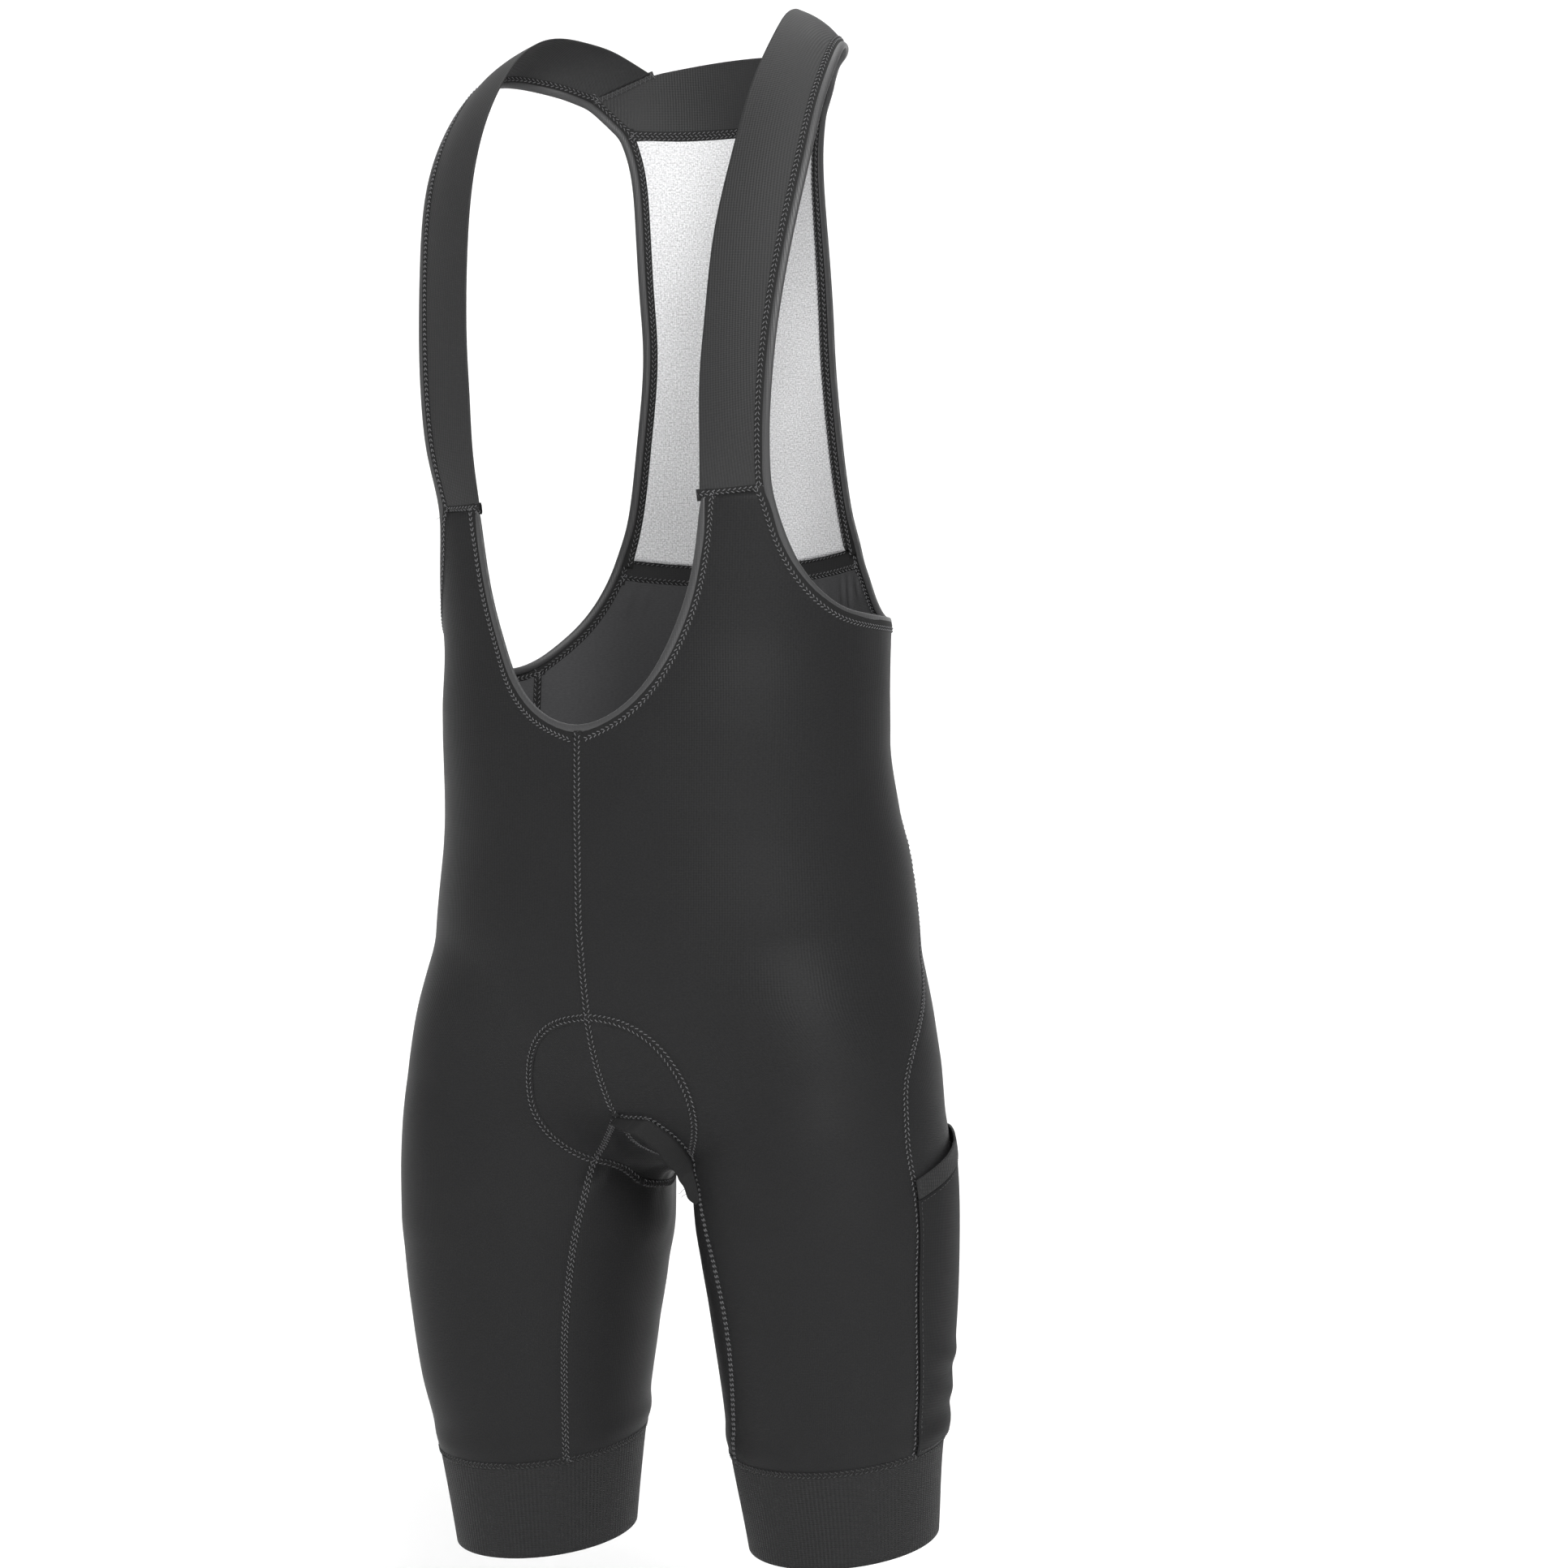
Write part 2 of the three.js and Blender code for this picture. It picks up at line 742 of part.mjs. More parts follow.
// Yoke columns, with one at each end of the neck
function yokePoints() {
  const across = stations(16).map((share) => {
    const place = share * 16 - 8;
    if (Math.abs(place) <= 5) return (place / 5) * YOKE_NECK;
    return Math.sign(place) * mix(YOKE_NECK, YOKE_CORNER, (Math.abs(place) - 5) / 3);
  });
  const bottomHalf = BACK_WIDTH.half(YOKE_BOTTOM) - BINDING_WIDTH - SEAM_GAP;
  return stations(4).map((down) =>
    across.map((x) => {
      const narrowed = mix(x, (x / YOKE_CORNER) * bottomHalf, down);
      return backPoint(narrowed, mix(yokeTop(x), YOKE_BOTTOM, down));
    }),
  );
}

const clothHalf = (z) => BACK_WIDTH.half(z) - BINDING_WIDTH - SEAM_GAP;
const stripEdge = (z) => clothHalf(z) - STRIP_WIDTH;

// A stretch of the back between the yoke and the tape, from one side line to another
function backStretch(columnCount, rightOf, leftOf) {
  return stations(MESH_ROWS).map((down) =>
    stations(columnCount).map((share) => {
      const z = mix(YOKE_BOTTOM, TAPE_TOP, down);
      const x = mix(rightOf(z), leftOf(z), share);
      const sag = TAPE_SAG * (1 - (x / clothHalf(z)) ** 2) * down ** 4;
      return backPoint(x, z - sag);
    }),
  );
}

const meshPoints = () => backStretch(MESH_COLUMNS, (z) => -clothHalf(z), stripEdge);
const stripPoints = () => backStretch(1, stripEdge, clothHalf);

function tapePoints() {
  return stations(1).map((down) =>
    stations(2 * TAPE_COLUMNS).map((share) =>
      tapePoint(mix(TAPE_TOP, TAPE_BOTTOM, down), 2 * share - 1),
    ),
  );
}

// Strap: two edges over the shoulder, with the cloth a little crowned between them
function strapPoints(side) {
  const neckTop = necklineOf(side)(0);
  const armTop = armholeOf(side, ARM_FRONT, ARM_BACK)(0);
  const yokeNeck = backPoint(side.sign * YOKE_NECK, YOKE_NECK_LEVEL);
  const yokeArm = backPoint(side.sign * YOKE_CORNER, YOKE_CORNER_LEVEL);
  const outward = yokeArm.clone().sub(yokeNeck).normalize();
  const yokeFinished = yokeArm.clone().addScaledVector(outward, BINDING_WIDTH + SEAM_GAP);
  const neck = [neckTop];
  const arm = [armTop];
  STRAP.forEach(([neckX, neckY, neckZ, armX, armY, armZ]) => {
    neck.push(vec(side.sign * neckX, neckY, neckZ));
    arm.push(vec(side.sign * armX, armY, armZ));
  });
  neck.push(yokeNeck);
  arm.push(yokeFinished);
  const crowns = [1.5, ...STRAP.map((row) => row[6]), 1.1];
  const neckCurve = new THREE.CatmullRomCurve3(neck, false, "centripetal");
  const armCurve = new THREE.CatmullRomCurve3(arm, false, "centripetal");
  return stations(STRAP_ROWS).map((share) => {
    const first = neckCurve.getPoint(share);
    const finished = armCurve.getPoint(share);
    const inward = first.clone().sub(finished).normalize();
    const last = finished.clone().addScaledVector(inward, BINDING_WIDTH + SEAM_GAP);
    const upward = armCurve.getTangent(share).add(neckCurve.getTangent(share));
    const normal = last.clone().sub(first).cross(upward).multiplyScalar(side.sign).normalize();
    const place = share * (crowns.length - 1);
    const row = Math.min(Math.floor(place), crowns.length - 2);
    const crown = mix(crowns[row], crowns[row + 1], place - row);
    return stations(STRAP_COLUMNS).map((across) =>
      first.clone().lerp(last, across).addScaledVector(normal, 4 * crown * across * (1 - across)),
    );
  });
}

// Point, normal: the cloth's outer face at each grid point
function withNormals(rows, normalOf) {
  return rows.map((row, j) => row.map((p, i) => ({ p, n: normalOf(rows, j, i) })));
}

const onBodyNormal = (rows, j, i) => bodyNormal(rows[j][i]);

// The grid's own normal, for cloth that lies off the body
function gridNormal(sign) {
  return (rows, j, i) => {
    const row = rows[j];
    const across = row[Math.min(i + 1, row.length - 1)].clone().sub(row[Math.max(i - 1, 0)]);
    const below = rows[Math.min(j + 1, rows.length - 1)][i];
    const down = below.clone().sub(rows[Math.max(j - 1, 0)][i]);
    return across.cross(down).multiplyScalar(sign).normalize();
  };
}

// Draws the edges of a grid into the cloth by the amounts given
function drawIn(grid, edges) {
  const lastRow = grid.length - 1;
  const lastColumn = grid[0].length - 1;
  const moved = grid.map((row) => row.map(({ p, n }) => ({ p: p.clone(), n })));
  const pull = (j, i, alongBefore, alongAfter, towards, amount) => {
    const { p, n } = grid[j][i];
    const along = alongAfter.p.clone().sub(alongBefore.p);
    const across = along.cross(n).normalize();
    if (across.dot(towards.p.clone().sub(p)) < 0) across.negate();
    if (amount) moved[j][i].p.addScaledVector(across, amount);
  };
  const { first = 0, last = 0, top = 0, bottom = 0, round = false } = edges;
  for (let j = 0; j <= lastRow; j += 1) {
    const before = grid[Math.max(j - 1, 0)];
    const after = grid[Math.min(j + 1, lastRow)];
    const end = lastColumn;
    pull(j, 0, before[0], after[0], grid[j][1], first);
    pull(j, end, before[end], after[end], grid[j][end - 1], last);
  }
  for (let i = 0; i <= lastColumn; i += 1) {
    const before = round ? (i + lastColumn) % (lastColumn + 1) : Math.max(i - 1, 0);
    const after = round ? (i + 1) % (lastColumn + 1) : Math.min(i + 1, lastColumn);
    const low = lastRow;
    pull(0, i, grid[0][before], grid[0][after], grid[1][i], top);
    pull(low, i, grid[low][before], grid[low][after], grid[low - 1][i], bottom);
  }
  return moved;
}

function closedGeometry(points, faces) {
  const positions = new Float32Array(points.flatMap((p) => [p.x, p.y, p.z]));
  let volume = 0;
  faces.forEach(([a, b, c]) => {
    volume += points[a].dot(points[b].clone().cross(points[c])) / 6;
  });
  const turned = volume < 0 ? faces.map(([a, b, c]) => [a, c, b]) : faces;
  const geometry = new THREE.BufferGeometry();
  geometry.setAttribute("position", new THREE.BufferAttribute(positions, 3));
  geometry.setIndex(turned.flat());
  geometry.computeVertexNormals();
  return geometry;
}

// A wall of cloth: the grid outside, the same grid moved in, and its edges closed
function wall(grid, thickness, round = false) {
  const rowCount = grid.length;
  const columnCount = grid[0].length;
  const outer = grid.flat().map(({ p }) => p);
  const inner = grid.flat().map(({ p, n }) => p.clone().addScaledVector(n, -thickness));
  const within = rowCount * columnCount;
  const faces = [];
  const quad = (a, b, c, d) => faces.push([a, b, c], [a, c, d]);
  const at = (j, i) => j * columnCount + (i % columnCount);
  const lastCell = round ? columnCount : columnCount - 1;
  for (let j = 0; j < rowCount - 1; j += 1) {
    for (let i = 0; i < lastCell; i += 1) {
      quad(at(j, i), at(j + 1, i), at(j + 1, i + 1), at(j, i + 1));
      quad(
        within + at(j, i),
        within + at(j, i + 1),
        within + at(j + 1, i + 1),
        within + at(j + 1, i),
      );
    }
    if (round) continue;
    const last = columnCount - 1;
    quad(at(j, 0), within + at(j, 0), within + at(j + 1, 0), at(j + 1, 0));
    quad(at(j, last), at(j + 1, last), within + at(j + 1, last), within + at(j, last));
  }
  const low = rowCount - 1;
  for (let i = 0; i < lastCell; i += 1) {
    quad(at(0, i), at(0, i + 1), within + at(0, i + 1), within + at(0, i));
    quad(at(low, i), within + at(low, i), within + at(low, i + 1), at(low, i + 1));
  }
  return closedGeometry([...outer, ...inner], faces);
}

// One side of a grid, from the top down
function sideOf(grid, place) {
  return grid.map((row) => (place === "first" ? row[0] : row[row.length - 1]));
}

// Leaves out places that lie too close to the one before
function spaced(places, closed) {
  const kept = [];
  places.forEach((place) => {
    const before = kept[kept.length - 1];
    if (!before || before.p.distanceTo(place.p) > 3) kept.push(place);
  });
  if (closed && kept[0].p.distanceTo(kept[kept.length - 1].p) < 3) kept.pop();
  return kept;
}

// A binding folded over a raw edge: an oval strip just outside the cloth, towards the hollow
function binding(placesGiven, hollow, closed) {
  const places = spaced(placesGiven, closed);
  const count = places.length;
  const sides = BINDING_SIDES;
  const points = [];
  places.forEach((edge, k) => {
    const before = places[closed ? (k + count - 1) % count : Math.max(k - 1, 0)].p;
    const after = places[closed ? (k + 1) % count : Math.min(k + 1, count - 1)].p;
    const along = after.clone().sub(before).normalize();
    const outward = along.clone().cross(edge.n).normalize();
    if (outward.dot(hollow.clone().sub(edge.p)) < 0) outward.negate();
    const normal = outward.clone().cross(along).normalize();
    if (normal.dot(edge.n) < 0) normal.negate();
    const middle = edge.p.clone().addScaledVector(normal, -KNIT / 2);
    middle.addScaledVector(outward, SEAM_GAP + BINDING_WIDTH / 2);
    const handed = along.dot(outward.clone().cross(normal)) > 0 ? 1 : -1;
    for (let s = 0; s < sides; s += 1) {
      const turn = (handed * 2 * Math.PI * s) / sides;
      const p = middle.clone();
      p.addScaledVector(outward, (Math.cos(turn) * BINDING_WIDTH) / 2);
      p.addScaledVector(normal, (Math.sin(turn) * BINDING_THICKNESS) / 2);
      points.push(p);
    }
  });
  const faces = [];
  const rings = closed ? count : count - 1;
  for (let k = 0; k < rings; k += 1) {
    const here = k * sides;
    const next = ((k + 1) % count) * sides;
    for (let s = 0; s < sides; s += 1) {
      const t = (s + 1) % sides;
      faces.push([here + s, here + t, next + t], [here + s, next + t, next + s]);
    }
  }
  if (!closed) {
    const far = (count - 1) * sides;
    for (let s = 1; s < sides - 1; s += 1) {
      faces.push([0, s + 1, s], [far, far + s, far + s + 1]);
    }
  }
  return closedGeometry(points, faces);
}

// A place on one column of a panel, at one level
function onColumn(grid, column, z) {
  const line = grid.map((row) => row[column]);
  let j = 0;
  while (j < line.length - 2 && line[j + 1].p.z > z) j += 1;
  const share = clamp01((line[j].p.z - z) / (line[j].p.z - line[j + 1].p.z));
  const n = line[j].n.clone().lerp(line[j + 1].n, share).normalize();
  return { p: line[j].p.clone().lerp(line[j + 1].p, share), n };
}

// The pocket's mouth level and how far it stands off the leg, across its width
const mouthLevel = (across) =>
  POCKET_MOUTH_FRONT + POCKET_MOUTH_RISE * Math.min(across / POCKET_RISE_END, 1);
const standOff = (across) => SEAM_GAP + POCKET_STAND_OFF * ease(4 * across * (1 - across));

function lifted({ p, n }, height) {
  return { p: p.clone().addScaledVector(n, height), n };
}

// The pocket: the back panel's own points from the mouth down to the hem, moved out
function pocketGrid(side, backGrid) {
  const low = backGrid[backGrid.length - 1];
  return stations(POCKET_ROWS).map((down) =>
    stations(POCKET_COLUMNS).map((across, i) => {
      const z = mix(mouthLevel(across), low[i].p.z, down);
      const hug = ease(down / POCKET_HUG_END);
      const height = mix(standOff(across), SEAM_GAP, hug) + POCKET_CLOTH;
      return lifted(down === 1 ? low[i] : onColumn(backGrid, i, z), height);
    }),
  );
}

// The elastic band round the pocket's mouth
function pocketBandGrid(side, backGrid) {
  return stations(2).map((down) =>
    stations(POCKET_COLUMNS).map((across, i) => {
      const z = mouthLevel(across) + POCKET_BAND_HEIGHT * (1 - down) + SEAM_GAP;
      return lifted(onColumn(backGrid, i, z), standOff(across) + ELASTIC);
    }),
  );
}

const HALF_GAP = SEAM_GAP / 2;
const allEdges = { first: HALF_GAP, last: HALF_GAP, top: HALF_GAP, bottom: HALF_GAP };
const endEdges = { top: HALF_GAP, bottom: HALF_GAP };
const STRAP_TO_YOKE = 0.9;

function makePieces() {
  const pieces = [];
  const add = (name, geometry, look) => pieces.push({ name, geometry, look });
  const backward = gridNormal(1);
  const yoke = drawIn(withNormals(yokePoints(), backward), endEdges);
  const mesh = drawIn(withNormals(meshPoints(), backward), { ...endEdges, last: HALF_GAP });
  const strip = drawIn(withNormals(stripPoints(), backward), { ...endEdges, first: HALF_GAP });
  const tape = drawIn(withNormals(tapePoints(), onBodyNormal), endEdges);
  add("yoke", wall(yoke, KNIT), ELASTIC_BLACK);
  add("back_mesh", wall(mesh, MESH_CLOTH), MESH_GREY);
  add("mesh_edge_strip", wall(strip, MESH_CLOTH), ELASTIC_BLACK);
  add("back_tape", wall(tape, KNIT), ELASTIC_BLACK);

  const neck = [];
  for (const side of [LEFT, RIGHT]) {
    const front = drawIn(withNormals(frontPoints(side), onBodyNormal), allEdges);
    const back = drawIn(withNormals(backPoints(side), onBodyNormal), allEdges);
    const inner = drawIn(withNormals(innerPoints(side), onBodyNormal), allEdges);
    const hemEdges = { top: HALF_GAP, round: true };
    const hem = drawIn(withNormals(hemBandPoints(side), onBodyNormal), hemEdges);
    const strapEdges = { top: HALF_GAP, bottom: STRAP_TO_YOKE };
    const strap = drawIn(withNormals(strapPoints(side), gridNormal(side.sign)), strapEdges);
    add(`front_${side.name}`, wall(front, KNIT), CLOTH_BLACK);
    add(`back_${side.name}`, wall(back, KNIT), CLOTH_BLACK);
    add(`inner_${side.name}`, wall(inner, KNIT), CLOTH_BLACK);
    add(`hem_band_${side.name}`, wall(hem, ELASTIC, true), ELASTIC_BLACK);
    add(`strap_${side.name}`, wall(strap, KNIT), ELASTIC_BLACK);
    add(`pocket_${side.name}`, wall(pocketGrid(side, back), POCKET_CLOTH), POCKET_BLACK);
    add(`pocket_band_${side.name}`, wall(pocketBandGrid(side, back), ELASTIC), ELASTIC_BLACK);

    const neckPlaces = front[0].slice(0, NECK_COLUMNS + 1);
    neck.push(side === LEFT ? neckPlaces.reverse() : neckPlaces.slice(1));
    const place = side === LEFT ? "last" : "first";
    const loop = [
      ...front[0].slice(NECK_COLUMNS + STRAP_SEAM_COLUMNS),
      ...back[0].slice(0, ARM_BACK_COLUMNS + 1),
      ...sideOf(tape, place).reverse(),
      ...sideOf(side === LEFT ? strip : mesh, place).reverse(),
      ...sideOf(yoke, place).reverse(),
      ...sideOf(strap, "last").reverse(),
    ];
    add(`armhole_binding_${side.name}`, binding(loop, armHollow(side), true), BINDING_GREY);
  }
  add("neck_binding", binding(neck.flat(), neckHollow, false), BINDING_GREY);
  return pieces;
}

const bibShorts = new THREE.Group();
for (const { name, geometry, look } of makePieces()) {
  const mesh = new THREE.Mesh(geometry, new THREE.MeshStandardMaterial({ metalness: 0, ...look }));
  mesh.name = name;
  bibShorts.add(mesh);
}

export default bibShorts;
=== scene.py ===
"""Cycling bib shorts in their worn form: satin stretch knit, elastic straps, a mesh back,
ribbed gripper bands and a pocket on each thigh, with every seam, binding and row of stitches.
Metres. +Z is up, the front faces -Y and the wearer's left side is +X. Tables are in millimetres.
"""

import math
import random

import bmesh
import bpy
import numpy as np
from mathutils import Matrix, Vector
from mathutils.bvhtree import BVHTree
from mathutils.kdtree import KDTree


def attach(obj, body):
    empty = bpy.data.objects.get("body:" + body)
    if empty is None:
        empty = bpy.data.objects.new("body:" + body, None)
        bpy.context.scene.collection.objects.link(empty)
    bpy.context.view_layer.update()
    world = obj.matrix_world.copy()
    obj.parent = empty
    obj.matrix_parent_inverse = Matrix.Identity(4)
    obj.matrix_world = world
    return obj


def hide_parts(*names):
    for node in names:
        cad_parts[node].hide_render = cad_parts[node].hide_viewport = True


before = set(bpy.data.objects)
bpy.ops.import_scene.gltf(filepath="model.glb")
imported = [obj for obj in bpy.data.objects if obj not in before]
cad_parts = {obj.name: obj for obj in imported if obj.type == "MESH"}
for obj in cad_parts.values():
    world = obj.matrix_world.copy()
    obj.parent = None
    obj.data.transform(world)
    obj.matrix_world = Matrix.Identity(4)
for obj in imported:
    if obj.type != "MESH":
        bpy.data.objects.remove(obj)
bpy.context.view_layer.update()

MM = 0.001
SIDES = {"left": 1, "right": -1}

# Cloth walls, in millimetres
KNIT_WALL = 1.0
ELASTIC_WALL = 1.4
MESH_WALL = 0.9
BINDING_FULLNESS = 0.3
POCKET_WALL = 0.9

# How far a fold or a cut's corner turns, in degrees, to end a sheet or to be kept sharp
SHEET_TURN = 55
CORNER_TURN = 38

# The furrow along a sewn seam, and the ripples and the puffed cloth beside one
SEAM_FURROW = 0.45
SEAM_FURROW_WIDTH = 3.2
SEAM_RIPPLE = 0.16
SEAM_RIPPLE_WIDTH = 6
SEAM_REACH = 14
HEM_PUFF = 1.3
HEM_PUFF_UP = 9
HEM_PUFF_WIDTH = 7

# Points along a seam's line, and how far apart the finer points along a rim are
LINE_STEP = 1.5
RIM_STEP = 1.0

# Stitching, in millimetres
STITCH_PITCH = 3.1
STITCH_LENGTH = 1.6
STITCH_SLANT = 0.45
THREAD_RADIUS = 0.27
BAND_RISE = 0.3
THREAD_RISE = 0.1
FINE_THREAD = 0.13
PAD_BAND = 6.0
PAD_BAND_RISE = 0.5
PAD_THREAD_LIFT = 0.62
PAD_STITCH_LIFT = 0.6
POCKET_STITCH_IN = 2.2
EDGE_STITCH_IN = 2.0
EDGE_ROW_HALF = 0.8
EDGE_ROW_LIFT = 0.44
EDGE_BAND_IN = 0.8
EDGE_BAND = 7.0
PAST_THE_EDGE = 0.8
BINDING_REACH = 2.0
EDGE_OVERRUN = 4.5

HEM_LEAN = 0.23
HEM_SEAM = {"left": -857, "right": -864}

# The cloth between the legs is drawn up, most at the middle of the crotch
CROTCH_LEVEL = -708
CROTCH_RAISE = 10.0
CROTCH_RAISE_ACROSS = 24.0
CROTCH_RAISE_DEEP = 18.0

# The loose edge of cloth that hangs at the crotch on the wearer's left, drawn near-black as painted
# shade
FLAP_LOW = -714
FLAP_WIDTH = 14.0
FLAP_WALL = 0.8
FLAP_HANG = (-0.62, -0.38, -0.68)

# The stage, in metres: the floor's level, where it starts to rise, how round, and the wall's top
FLOOR_LEVEL = -1.02
FLOOR_BEND = 0.5
FLOOR_RADIUS = 3.6
WALL_TOP = 5.5
ROUND_STEPS = 40
CAMERA_TURN = 30
CAMERA_PLACE = (1.25, -2.165, -0.57)
CAMERA_AIM = (0.059, 0.034, -0.465)
SENSOR = 36
FOCAL_SHARE = 5075 / 1932
WORLD_STRENGTH = 0.24
LIGHTS = [
    # name, place, the point it faces, width and height, watts
    ("key", (2.35, -2.85, 1.6), (0, 0, -0.5), (1.3, 2.0), 155),
    ("fill", (-2.6, -2.2, 0.2), (0, 0, -0.5), (1.4, 2.4), 12),
    ("top", (0.2, 0.3, 2.4), (0, 0, -0.5), (2.4, 2.4), 45),
    ("backdrop wash", (-0.9, 1.0, 2.6), (-2.2, 3.8, -0.3), (3.0, 1.0), 36),
]


def smooth_through(keys, values):
    """A smooth curve through a column of values that never swings past them; keys rise."""
    keys, values = np.array(keys, float), np.array(values, float)
    steps = np.diff(keys)
    rises = np.diff(values) / steps
    slopes = np.empty(len(keys))
    slopes[0], slopes[-1] = rises[0], rises[-1]
    for n in range(1, len(keys) - 1):
        if rises[n - 1] * rises[n] <= 0:
            slopes[n] = 0
            continue
        near, far = 2 * steps[n] + steps[n - 1], steps[n] + 2 * steps[n - 1]
        slopes[n] = (near + far) / (near / rises[n - 1] + far / rises[n])

    def at(key):
        held = np.clip(key, keys[0], keys[-1])
        n = np.clip(np.searchsorted(keys, held) - 1, 0, len(steps) - 1)
        t = (held - keys[n]) / steps[n]
        left = (1 + 2 * t) * values[n] + t * steps[n] * slopes[n]
        right = (3 - 2 * t) * values[n + 1] - (1 - t) * steps[n] * slopes[n + 1]
        return (1 - t) ** 2 * left + t**2 * right

    return at


def columns(names, rows):
    """Turns a table, its first column falling, into one smooth function for each other column."""
    keys = [row[0] for row in reversed(rows)]
    return {
        name: smooth_through(keys, [row[n + 1] for row in reversed(rows)])
        for n, name in enumerate(names[1:])
    }


# The worn trunk: half width, how far front and back lie from the X axis, how square the chest is
TRUNK_END = -704
TRUNK = columns(
    ["z", "half_width", "front", "back", "square"],
    [
        (-280, 142, 105, 104, 3),
        (-303, 142, 105, 104, 3),
        (-330, 142, 104, 103, 2.8),
        (-350, 142, 104, 102, 2.65),
        (-380, 141.5, 105, 100, 2.4),
        (-422, 143, 110, 97, 2.2),
        (-440, 143, 111, 97, 2.15),
        (-481, 145.5, 111, 108, 2.05),
        (-510, 150.5, 110, 116, 2),
        (-545, 155.5, 109, 117, 2),
        (-580, 159, 104, 113, 2),
        (-606, 161, 98.5, 108, 2),
        (-629, 160, 90, 104, 2),
        (-652, 150, 76, 100, 2),
        (-664, 140, 66, 95, 2),
        (-680, 115, 45, 82, 2),
        (-692, 80, 18, 60, 2),
        (-700, 40, -4, 34, 2),
        (TRUNK_END, 4, -13, 17, 2),
    ],
)

# The legs: how far the middle stands out and back, the diameter, and how oval the section is
LEG_TOP = -540
LEG = columns(
    ["z", "out", "back", "diameter", "oval"],
    [
        (LEG_TOP, 78, 0, 40, 1.05),
        (-560, 80, 0, 100, 1.05),
        (-580, 84, 1, 130, 1.05),
        (-606, 88, 1, 147, 1.05),
        (-629, 92, 2, 154, 1.05),
        (-652, 96, 4, 158, 1.05),
        (-678, 98, 6, 161, 1.05),
        (-703, 99, 8, 162.5, 1.05),
        (-728, 100, 10, 162, 1.05),
        (-752, 101.5, 12, 158, 1.045),
        (-777, 103, 13, 152, 1.04),
        (-826, 104, 15, 139, 1.03),
        (-862, 103, 18, 128, 1.01),
        (-920, 104, 25, 113, 1),
        (-945, 104, 27, 107, 1),
    ],
)
BLEND = 30

# Half widths of the pad's sewn outline, in front of the crotch and behind it
PAD = columns(
    ["z", "front", "behind"],
    [
        (-605, 0, 0),
        (-607, 15, 20),
        (-610.5, 27, 34),
        (-616, 36, 50),
        (-625, 44.5, 60),
        (-635, 50, 66),
        (-648, 54, 68),
        (-659, 55, 66),
        (-670, 53, 60),
        (-681, 46, 50),
        (-690, 37, 38),
        (-698, 24, 26),
        (-712, 20, 20),
    ],
)
PAD_RELIEF = 1.0
PAD_EDGE = 5
PAD_MIDDLE = 10


def ease(t):
    t = np.clip(t, 0, 1)
    return t * t * (3 - 2 * t)


def oval_distance(x, y, half_x, half_y, square=2.0):
    scaled = np.abs(x / half_x) ** square + np.abs(y / half_y) ** square
    scaled = scaled ** (1 / square)
    slope = np.hypot(x / half_x**2, y / half_y**2) + 1e-9
    return scaled * (scaled - 1) / slope


def soft_union(a, b):
    overlap = np.maximum(BLEND - np.abs(a - b), 0) / BLEND
    return np.minimum(a, b) - overlap**2 * BLEND / 4


def pad_lift(p):
    half = np.where(p[:, 1] < PAD_MIDDLE, PAD["front"](p[:, 2]), PAD["behind"](p[:, 2]))
    return PAD_RELIEF * ease((half - np.abs(p[:, 0])) / PAD_EDGE + 0.5)


def body_distance(p):
    """Distance from the worn body, in millimetres: the trunk and two legs, joined softly."""
    x, y, z = p.T
    front, back = TRUNK["front"](z), TRUNK["back"](z)
    behind = y - (back - front) / 2
    square = np.where(behind < 0, TRUNK["square"](z), 2.0)
    trunk = oval_distance(x, behind, TRUNK["half_width"](z), (back + front) / 2, square)
    distance = trunk + np.maximum(TRUNK_END - z, 0)
    radius, oval = LEG["diameter"](z) / 2, LEG["oval"](z)
    for sign in SIDES.values():
        out = sign * x - LEG["out"](z)
        backward = y - LEG["back"](z)
        along, across = (out - backward) * math.sqrt(0.5), (out + backward) * math.sqrt(0.5)
        leg = oval_distance(along, across, radius * oval, radius / oval)
        distance = soft_union(distance, leg + np.maximum(z - LEG_TOP, 0))
    return distance - pad_lift(p)


def body_slope(p):
    reach = 0.5
    slope = np.zeros_like(p)
    for axis in range(3):
        step = np.zeros(3)
        step[axis] = reach
        slope[:, axis] = (body_distance(p + step) - body_distance(p - step)) / (2 * reach)
    return slope


def body_normal(p):
    slope = body_slope(p)
    return slope / np.linalg.norm(slope, axis=1)[:, None]


def settle(p):
    """Moves points straight onto the body's surface."""
    p = p.copy()
    for _ in range(6):
        slope = body_slope(p)
        p -= slope * (body_distance(p) / (slope**2).sum(1))[:, None]
    return p


def leg_middle(sign, z):
    """The middle of the trunk, turning into the middle of a leg below the hips."""
    into = ease((-590 - z) / 100)
    return sign * LEG["out"](z) * into, LEG["back"](z) * into
